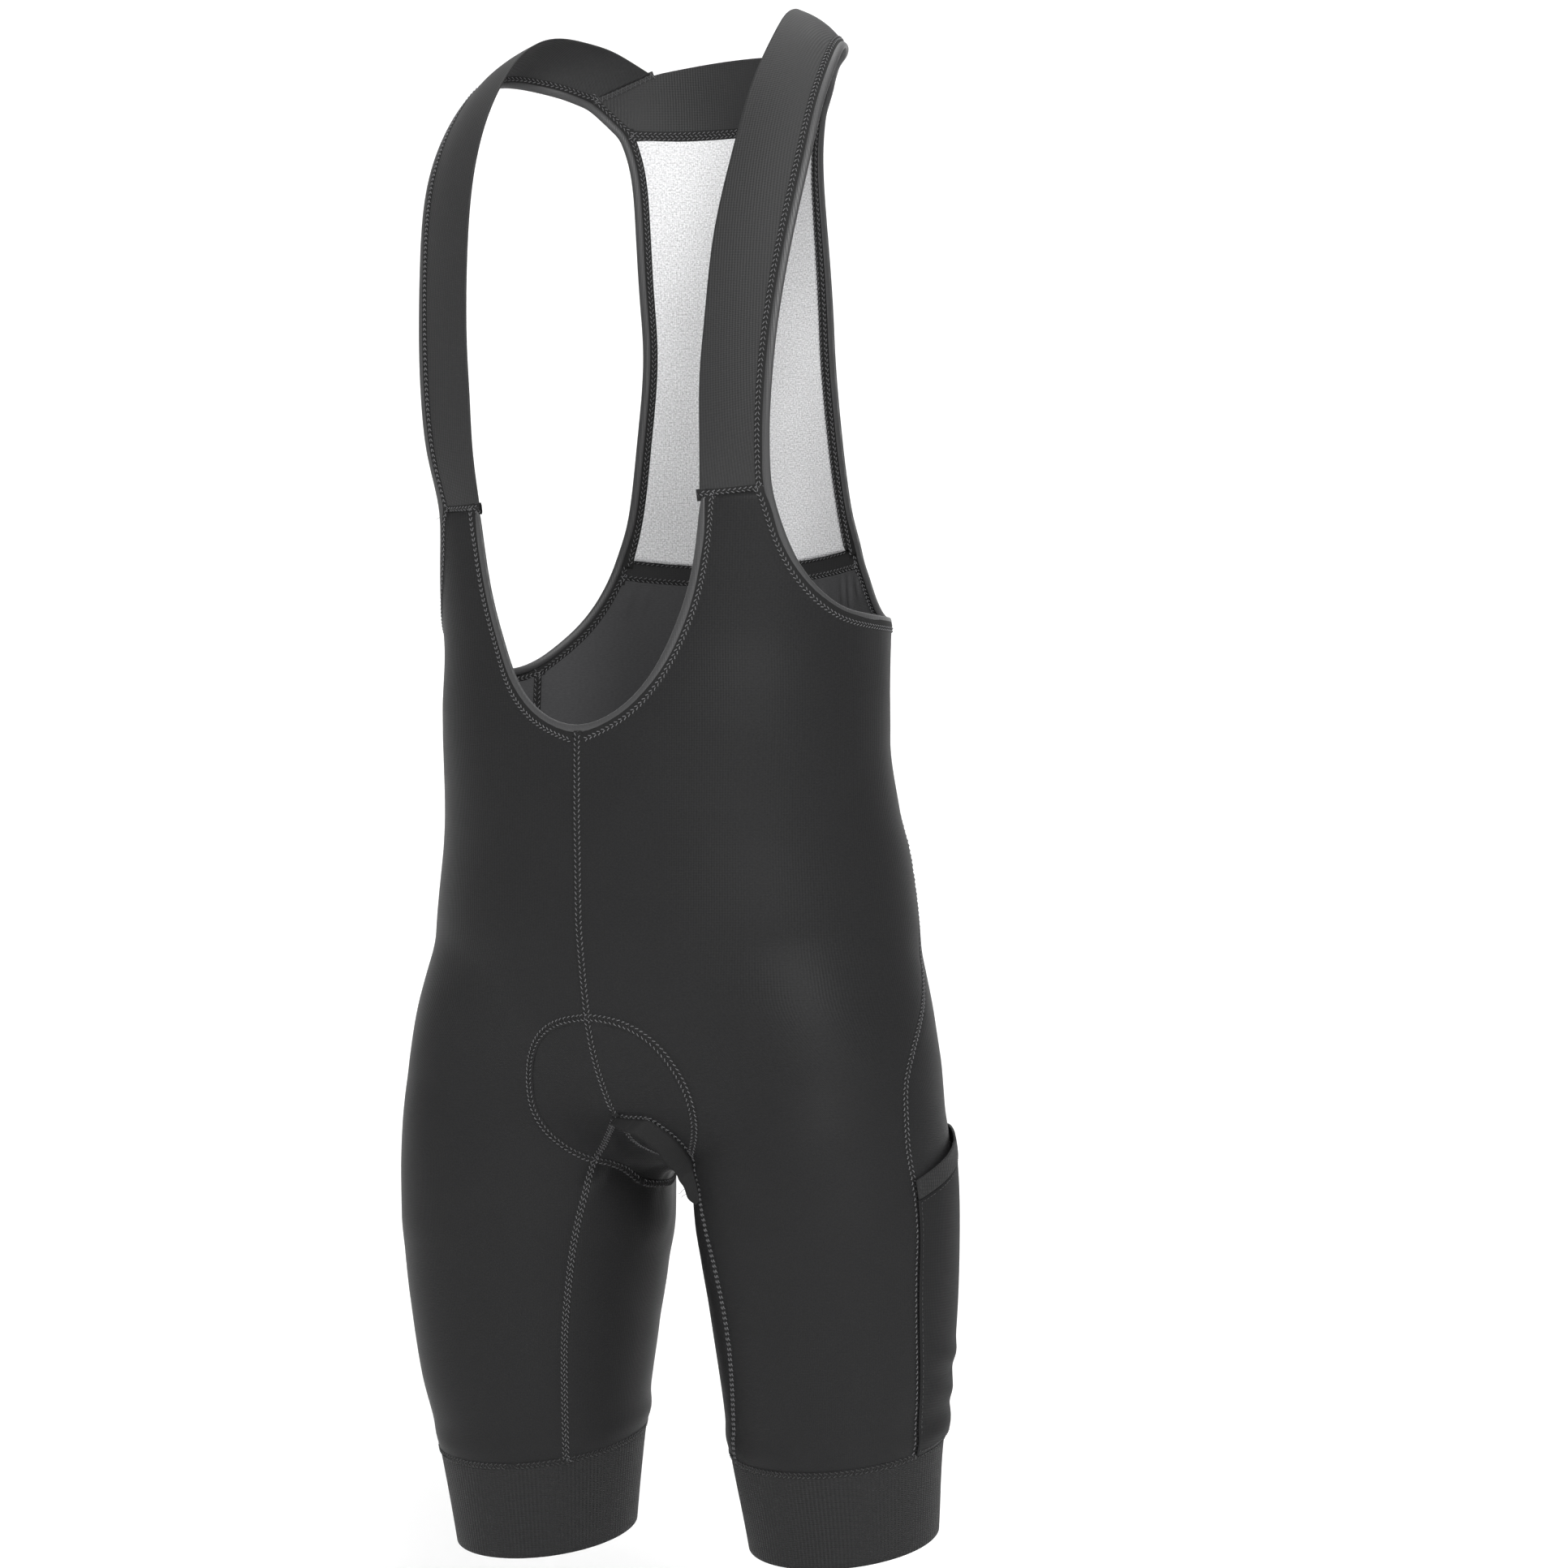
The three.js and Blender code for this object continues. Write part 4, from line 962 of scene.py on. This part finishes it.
def lay_out_cut(mesh, sign, flat_back=False):
    """A piece's UV map: round the body or across the back, and up the cloth."""
    p = places(mesh)
    if flat_back:
        u, round_trip = p[:, 0], None
    else:
        x, y = leg_middle(sign, p[:, 2])
        radius = np.hypot(p[:, 0] - x, p[:, 1] - y).mean()
        turn = np.arctan2(sign * (p[:, 0] - x), -(p[:, 1] - y))
        u, round_trip = turn * radius, math.tau * radius
    loops = corners_of(mesh)
    across = u[loops]
    if round_trip:
        for polygon in mesh.polygons:
            corners = slice(polygon.loop_start, polygon.loop_start + polygon.loop_total)
            if across[corners].max() - across[corners].min() > round_trip / 2:
                across[corners] += np.where(across[corners] < 0, round_trip, 0)
    write_cut(mesh, across, p[loops, 2])


def lay_out_strap(mesh, sign):
    """A strap's UV map: across it, and along its loop over the shoulder."""
    p = places(mesh)
    turn = np.arctan2(p[:, 2] + 170, -p[:, 1])
    along = turn * 110
    across = np.abs(p[:, 0] * sign - 60)
    loops = corners_of(mesh)
    write_cut(mesh, across[loops], along[loops])


def finished(mesh, name, slot, nodes=(), material=None):
    """Puts a piece into the scene, riding on the garment."""
    obj = added(name, mesh)
    mesh.materials.clear()
    mesh.materials.append(MATERIALS[material or slot])
    mesh.shade_smooth()
    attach(obj, "root")
    if nodes:
        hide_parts(*nodes)
    return obj


def side_of(node):
    return -1 if node.endswith("_right") else 1


for node, (_, _, wall, slot) in CLOTH.items():
    mesh = sheets[node]
    if node.startswith("strap_"):
        lay_out_strap(mesh, side_of(node))
    else:
        lay_out_cut(mesh, side_of(node), flat_back=node in ("yoke", "back_mesh", "mesh_edge_strip"))
    piece = finished(mesh, node + "_cloth", slot, [node])
    shell = piece.modifiers.new("wall", "SOLIDIFY")
    shell.thickness = wall * MM
    shell.offset = -1
    shell.use_even_offset = False
    if slot in INSIDE_OF:
        mesh.materials.append(MATERIALS[INSIDE_OF[slot]])
        shell.material_offset = 1


# Bindings, folded over the raw edges


def make_binding(node):
    """A binding on its solid's own form, a little fuller and with a rounded fold."""
    mesh = smoothed(paired(merged(node)), node + "_tape", 2)
    p = places(mesh)
    normals = np.empty(len(mesh.vertices) * 3)
    mesh.vertices.foreach_get("normal", normals)
    p += BINDING_FULLNESS * normals.reshape(-1, 3)
    place(mesh, p)
    loops = corners_of(mesh)
    write_cut(mesh, p[loops, 0] + p[loops, 1], p[loops, 2])
    return finished(mesh, node + "_tape", "binding", [node])


for node in ("neck_binding", "armhole_binding_left", "armhole_binding_right"):
    make_binding(node)


# Seams: a flat band over each join, with rows of thread on it; the band's near-black is partly the
# seam's own tone and partly painted shade along its edges


def carried_on(line, distance):
    """The same line, its ends carried straight on."""
    ends = []
    for end, before in ((line[0], line[4]), (line[-1], line[-5])):
        onward = (end - before) / np.linalg.norm(end - before)
        steps = np.arange(LINE_STEP, distance + 0.1, LINE_STEP)
        ends.append([end + onward * step for step in steps])
    return np.array(ends[0][::-1] + list(line) + ends[1])


def frame_of(line, closed=False, face=1):
    """Points laid on the cloth's outside, 1, or inside, -1, with the normal and the way across."""
    laid, normals = surface.lay(line)
    if closed:
        along = np.roll(laid, -1, axis=0) - np.roll(laid, 1, axis=0)
        normals = eased(normals, 4, True)
    else:
        along = np.gradient(laid, axis=0)
        normals = eased(normals, 4)
    along /= np.linalg.norm(along, axis=1)[:, None] + 1e-9
    normals -= along * (normals * along).sum(1)[:, None]
    normals /= np.linalg.norm(normals, axis=1)[:, None]
    if face < 0:
        laid = laid - normals * KNIT_WALL
    return laid, face * normals, np.cross(face * normals, along)


def band_mesh(name, routes, width, rise, face=1):
    """Flat bands along some lines, a little crowned, lying on the cloth."""
    whole = bmesh.new()
    for line, closed in routes:
        laid, normals, across = frame_of(line, closed, face)
        count = len(laid) + (1 if closed else 0)
        strip = bmesh.new()
        bmesh.ops.create_grid(strip, x_segments=count - 1, y_segments=4, size=0.5)
        layer = strip.loops.layers.uv.new("cut")
        for vert in strip.verts:
            n = int(round((vert.co.x + 0.5) * (count - 1)))
            share = vert.co.y * 2
            k = n % len(laid)
            side = laid[k] + across[k] * share * width / 2
            crown = rise * (1 - share**4) - 0.12 * (abs(share) > 0.9)
            vert.co = Vector((side + normals[k] * crown) * MM)
            for loop in vert.link_loops:
                loop[layer].uv = (share * width / 2 * MM, n * LINE_STEP * MM)
        part = mesh_of(strip, "strip")
        whole.from_mesh(part)
        bpy.data.meshes.remove(part)
    bmesh.ops.recalc_face_normals(whole, faces=whole.faces)
    return mesh_of(whole, name)


def seam_band(name, routes, width, rise=BAND_RISE, face=1):
    return finished(band_mesh(name, routes, width, rise, face), name, "main_knit", material="seam")


def strands_of_row(line, closed, offset, lift, face=1, slant=0.0, phase=0.5, pitch=STITCH_PITCH):
    """A row of single stitches beside a line. A slant turns each of them across the line."""
    laid, normals, across = frame_of(line, closed, face)
    row = laid + across * offset + normals * lift
    along = np.concatenate([[0], np.cumsum(np.linalg.norm(np.diff(row, axis=0), axis=1))])
    strands = []
    for start in np.arange(phase * pitch, along[-1] - pitch, pitch):
        stations = [start, start + STITCH_LENGTH / 2, start + STITCH_LENGTH]
        points = np.stack([np.interp(stations, along, row[:, axis]) for axis in range(3)], axis=1)
        n = int(np.searchsorted(along, start) - 1)
        points += across[n] * slant * np.array([[-1], [0], [1]])
        points += normals[n] * np.array([[-0.12], [THREAD_RADIUS], [-0.12]])
        strands.append(points)
    return strands


def braid(line, closed, half, lift, face=1):
    """Two rows of slanted stitches that meet in a row of small arrowheads."""
    first = strands_of_row(line, closed, half, lift, face, STITCH_SLANT, 0.25)
    return first + strands_of_row(line, closed, -half, lift, face, -STITCH_SLANT, 0.75)


def strand_of_zigzag(line, closed, half, lift, face=1, pitch=STITCH_PITCH):
    """One thread that crosses from side to side of a line."""
    laid, normals, across = frame_of(line, closed, face)
    total = np.linalg.norm(np.diff(laid, axis=0), axis=1)
    along = np.concatenate([[0], np.cumsum(total)])
    wanted = np.arange(0, along[-1], pitch / 2)

    def pick(values):
        return np.stack([np.interp(wanted, along, values[:, axis]) for axis in range(3)], axis=1)

    turn = np.where(np.arange(len(wanted)) % 2 == 0, 1, -1)[:, None]
    return [pick(laid) + pick(across) * turn * half + pick(normals) * lift]


def thread_piece(name, strands, radius=THREAD_RADIUS, material="thread"):
    """Many strands of thread as one piece."""
    curve = bpy.data.curves.new(name, "CURVE")
    curve.dimensions = "3D"
    curve.bevel_depth = radius * MM
    curve.bevel_resolution = 0
    curve.use_fill_caps = True
    for strand in strands:
        spline = curve.splines.new("POLY")
        spline.points.add(len(strand) - 1)
        spline.points.foreach_set("co", np.column_stack([strand * MM, np.ones(len(strand))]).ravel())
    mesh = made_with(added(name + "_route", curve), name)
    mesh.uv_layers.new(name="cut")
    return finished(mesh, name, "main_knit", material=material)


def flatlock(name, routes, width=5.0, overrun=2.0, faces=(1,), rows=2, yarn="thread"):
    """A flat seam: a dark band with rows of stitches along it and a fine zigzag between them; the band's
    dark margins are painted shade beside the seam.
    """
    offsets = [width * 0.24 * (2 * n / (rows - 1) - 1) for n in range(rows)]
    lift = BAND_RISE + THREAD_RISE
    for face in faces:
        side = "" if face > 0 else "_inside"
        lines = [(line if closed else carried_on(line, overrun), closed) for line, closed in routes]
        seam_band(name + "_seam" + side, lines, width, face=face)
        stitches, cross = [], []
        for line, closed in lines:
            for n, offset in enumerate(offsets):
                slant = STITCH_SLANT * (-1) ** n
                phase = 0.3 + 0.5 * n
                stitches += strands_of_row(line, closed, offset, lift, face, slant, phase)
            cross += strand_of_zigzag(line, closed, width * 0.2, lift, face, 1.9)
        thread_piece(name + "_stitches" + side, stitches, material=yarn)
        thread_piece(name + "_threads" + side, cross, FINE_THREAD, material="dark_thread")


BOTH = (1, -1)
flatlock("centre_front", SEAMS["front"], 5.6, 5.0, BOTH)
flatlock("seat", SEAMS["seat"], 6.0, 5.0, BOTH)
flatlock("side", SEAMS["sides"], 5.6, 2.0, BOTH)
flatlock("inner_leg_front", SEAMS["inner_front"], 6.4, 4.0, rows=3)
flatlock("inner_leg_back", SEAMS["inner_back"], 5.6, 4.0)
flatlock("crotch", SEAMS["crotch"], 4.6, 4.0)
flatlock("hem", SEAMS["hems"], 5.0, yarn="dark_thread")
flatlock("strap_join", SEAMS["straps"], 7.0, 5.0, BOTH, 3)
flatlock("yoke", SEAMS["yoke"], 7.6, 1.0, BOTH, 3)
for face, face_name in ((1, "outside"), (-1, "inside")):
    join = seam_band("strap_end_band_" + face_name, SEAMS["yoke_ends"], 6.0, face=face)
    join.data.materials[0] = MATERIALS["strap_elastic"]
    zigzags = []
    for line, closed in SEAMS["yoke_ends"]:
        zigzags += strand_of_zigzag(line, closed, 1.9, BAND_RISE + THREAD_RISE, face, 3.4)
    thread_piece("strap_end_zigzag_" + face_name, zigzags, radius=0.2)
flatlock("tape_top", SEAMS["tape_top"], 3.6, 1.0, BOTH)
flatlock("tape_edge", SEAMS["tape_bottom"], 4.0, 1.0, BOTH)
flatlock("mesh_strip", SEAMS["strip"], 3.0, 1.0, BOTH)


def on_front(x, z, towards):
    """The place on the body straight in front of, -1, or behind, 1, the pad's middle."""
    inside, outside = np.zeros(len(x)), np.full(len(x), 160.0)
    for _ in range(24):
        middle = (inside + outside) / 2
        within = body_distance(np.stack([x, PAD_MIDDLE + towards * middle, z], axis=1)) < 0
        inside, outside = np.where(within, middle, inside), np.where(within, outside, middle)
    return np.stack([x, PAD_MIDDLE + towards * outside, z], axis=1)


def pad_outline():
    """The closed line of stitches that holds the pad, round the crotch from front to back."""
    z = np.concatenate([np.linspace(-605.3, -618, 14), np.linspace(-620, -712, 46)])
    right_front = on_front(-PAD["front"](z), z, -1)
    left_front = on_front(PAD["front"](z), z, -1)
    left_back = on_front(PAD["behind"](z), z, 1)
    right_back = on_front(-PAD["behind"](z), z, 1)
    line = np.vstack([right_front[::-1], left_front, left_back[::-1], right_back])
    line = settle(eased(resampled(line, LINE_STEP, True), 14, True))
    return worn(settle(eased(line, 24, True)))


pad_line = pad_outline()
seam_band("pad_outline_seam", [(pad_line, True)], PAD_BAND, PAD_BAND_RISE)
pad_threads = strand_of_zigzag(pad_line, True, PAD_BAND * 0.36, PAD_THREAD_LIFT, pitch=2.0)
thread_piece("pad_outline_threads", pad_threads, FINE_THREAD, material="dark_thread")
thread_piece("pad_outline_stitches", braid(pad_line, True, PAD_BAND * 0.24, PAD_STITCH_LIFT))


# The row of stitches that holds each pocket


def inset_row(node, distance):
    """A closed line round a piece, inside its edge."""
    line = max(rims[node], key=len)
    line = eased(resampled(line, LINE_STEP, closed=True), 3, True)
    laid, _, across = frame_of(line, True)
    inward = np.sign(((line.mean(0) - laid) * across).sum(1))
    inward = eased(inward[:, None], 12, True)
    return laid + across * inward * distance


for side_name in SIDES:
    row = inset_row("pocket_" + side_name, POCKET_STITCH_IN)
    stitches = strands_of_row(row, True, 0.0, THREAD_RISE)
    thread_piece("pocket_stitches_" + side_name, stitches, radius=0.2, material="dark_thread")


def make_flap():
    """A narrow strip of cloth that hangs from the left inner seam, its free edge wavy, drawn near-black
    as painted shade.
    """
    line, _ = SEAMS["inner_front"][0]
    line = line[np.argsort(-line[:, 2])]
    line = resampled(line[line[:, 2] > FLAP_LOW], 1.0)
    count, rows = len(line), 5
    share = np.linspace(0, 1, count)
    width = FLAP_WIDTH * np.sin(np.pi * (0.04 + 0.9 * share)) ** 0.8
    width += 0.9 * np.sin(21 * share + 0.6) * share + 0.6 * np.sin(43 * share) * share
    bm = bmesh.new()
    bmesh.ops.create_grid(bm, x_segments=count - 1, y_segments=rows, size=0.5)
    layer = bm.loops.layers.uv.new("cut")
    for vert in bm.verts:
        n = int(round((vert.co.x + 0.5) * (count - 1)))
        out = vert.co.y + 0.5
        hang = np.array(FLAP_HANG) * width[n] * out
        wave = 0.8 * out * math.sin(9 * share[n] + 1)
        at = line[n] + hang + body_normal(line[n : n + 1])[0] * (0.4 + wave)
        vert.co = Vector(at * MM)
        for loop in vert.link_loops:
            loop[layer].uv = (width[n] * out * MM, n * MM)
    bmesh.ops.recalc_face_normals(bm, faces=bm.faces)
    # The flap takes the near-black seam band material as painted shade at the crotch, darker than the
    # knit it is cut from
    flap = finished(mesh_of(bm, "crotch_flap_painted_shade"), "crotch_flap_painted_shade", "main_knit", material="seam")
    shell = flap.modifiers.new("wall", "SOLIDIFY")
    shell.thickness = FLAP_WALL * MM
    shell.offset = 0


make_flap()


def loose_end(start, way, length, chance):
    """A short frayed thread that curls away from a seam."""
    heading = np.array(way, float)
    points = [np.array(start, float)]
    for _ in range(7):
        heading += np.array([chance.uniform(-0.5, 0.5) for _ in range(3)])
        heading /= np.linalg.norm(heading)
        points.append(points[-1] + heading * length / 7)
    return np.array(points)


LOOSE_ENDS = [
    # x y z of the frayed thread's root, the way that it hangs and its length
    ((29, -32, -707), (-0.5, -0.4, -0.8), 7),
    ((30, -31, -710), (-0.9, -0.3, -0.5), 6),
    ((-113, -80, -302), (-0.6, -0.4, -0.5), 7),
    ((-112, -82, -303), (-0.3, -0.8, -0.6), 9),
    ((-75, -100, -305), (0.6, -0.6, -0.3), 6),
    ((113, -80, -302), (0.8, -0.3, -0.2), 5),
]
CHANCE = random.Random(7)
thread_piece("loose_ends", [loose_end(*end, CHANCE) for end in LOOSE_ENDS], radius=0.14)


# Rows of stitches just inside each binding


def edge_rows(name, nodes, binding):
    """A braided double row on the cloth, beside the binding, on both faces."""
    bound = Surface([bpy.data.objects[binding + "_tape"].data])
    inset, under = [], []
    for node in nodes:
        for rim in rims[node]:
            line = resampled(rim, RIM_STEP, closed=True)
            near = np.linalg.norm(bound.nearest(line) - line, axis=1) < BINDING_REACH
            if near.sum() < 8:
                continue
            run, closed = longest_run(line, near)
            run = eased(resampled(run, LINE_STEP, closed), 3, closed)
            if not closed:
                run = carried_on(run, EDGE_OVERRUN)
            laid, _, across = frame_of(run, closed)
            inward = -across * np.sign(((bound.nearest(laid) - laid) * across).sum())
            inset.append((laid + inward * EDGE_STITCH_IN, closed))
            under.append((laid + inward * EDGE_BAND_IN, closed))
    for face, side in ((1, ""), (-1, "_inside")):
        seam_band(name + "_edge_band" + side, under, EDGE_BAND, face=face)
        strands = []
        for line, closed in inset:
            strands += braid(line, closed, EDGE_ROW_HALF, EDGE_ROW_LIFT, face)
        thread_piece(name + "_edge_threads" + side, strands)


edge_rows("neck", ["front_left", "front_right"], "neck_binding")
for side_name in SIDES:
    edge = ["front_" + side_name, "back_" + side_name, "strap_" + side_name, "yoke", "back_tape"]
    edge.append("mesh_edge_strip" if side_name == "left" else "back_mesh")
    edge_rows("armhole_" + side_name, edge, "armhole_binding_" + side_name)


# The stage: a pale floor that rises softly into a wall behind, lights and the camera


def make_stage():
    bm = bmesh.new()
    verts = [bm.verts.new((0, -4.5, FLOOR_LEVEL)), bm.verts.new((0, FLOOR_BEND, FLOOR_LEVEL))]
    for n in range(1, ROUND_STEPS + 1):
        turn = math.pi / 2 * n / ROUND_STEPS
        back = FLOOR_BEND + FLOOR_RADIUS * math.sin(turn)
        verts.append(bm.verts.new((0, back, FLOOR_LEVEL + FLOOR_RADIUS * (1 - math.cos(turn)))))
    verts.append(bm.verts.new((0, FLOOR_BEND + FLOOR_RADIUS, WALL_TOP)))
    edges = [bm.edges.new(pair) for pair in zip(verts, verts[1:])]
    for vert in bm.verts:
        vert.co.x -= 6
    extruded = bmesh.ops.extrude_edge_only(bm, edges=edges)
    moved = [v for v in extruded["geom"] if isinstance(v, bmesh.types.BMVert)]
    bmesh.ops.translate(bm, verts=moved, vec=(12, 0, 0))
    to_camera = Matrix.Rotation(math.radians(CAMERA_TURN), 3, "Z")
    bmesh.ops.rotate(bm, verts=bm.verts, cent=(0, 0, 0), matrix=to_camera)
    mesh = mesh_of(bm, "floor")
    mesh.shade_smooth()
    floor = added("floor", mesh)
    material = bpy.data.materials.new("pale floor")
    material.use_nodes = True
    shader = material.node_tree.nodes["Principled BSDF"]
    shader.inputs["Base Color"].default_value = (0.96, 0.96, 0.96, 1)
    shader.inputs["Roughness"].default_value = 0.9
    shader.inputs["Emission Color"].default_value = (1, 1, 1, 1)
    shader.inputs["Emission Strength"].default_value = 0.14
    mesh.materials.append(material)


def area_light(name, place_at, target, size, power):
    data = bpy.data.lights.new(name, "AREA")
    data.shape = "RECTANGLE"
    data.size, data.size_y = size
    data.energy = power
    light = added(name, data)
    light.location = place_at
    light.rotation_euler = (Vector(target) - Vector(place_at)).to_track_quat("-Z", "Y").to_euler()


def make_lights():
    for light in LIGHTS:
        area_light(*light)
    world = bpy.data.worlds.new("studio")
    world.use_nodes = True
    world.node_tree.nodes["Background"].inputs["Color"].default_value = (1, 1, 1, 1)
    world.node_tree.nodes["Background"].inputs["Strength"].default_value = WORLD_STRENGTH
    bpy.context.scene.world = world
    bpy.context.scene.view_settings.view_transform = "Standard"


def make_camera():
    """The photograph's place: 30 degrees round to the wearer's left, level with the waist."""
    data = bpy.data.cameras.new("camera")
    data.sensor_width = SENSOR
    data.lens = SENSOR * FOCAL_SHARE
    data.clip_end = 50
    camera = added("camera", data)
    camera.location = CAMERA_PLACE
    aim = Vector(CAMERA_AIM) - camera.location
    camera.rotation_euler = aim.to_track_quat("-Z", "Y").to_euler()
    bpy.context.scene.camera = camera


make_stage()
make_lights()
make_camera()
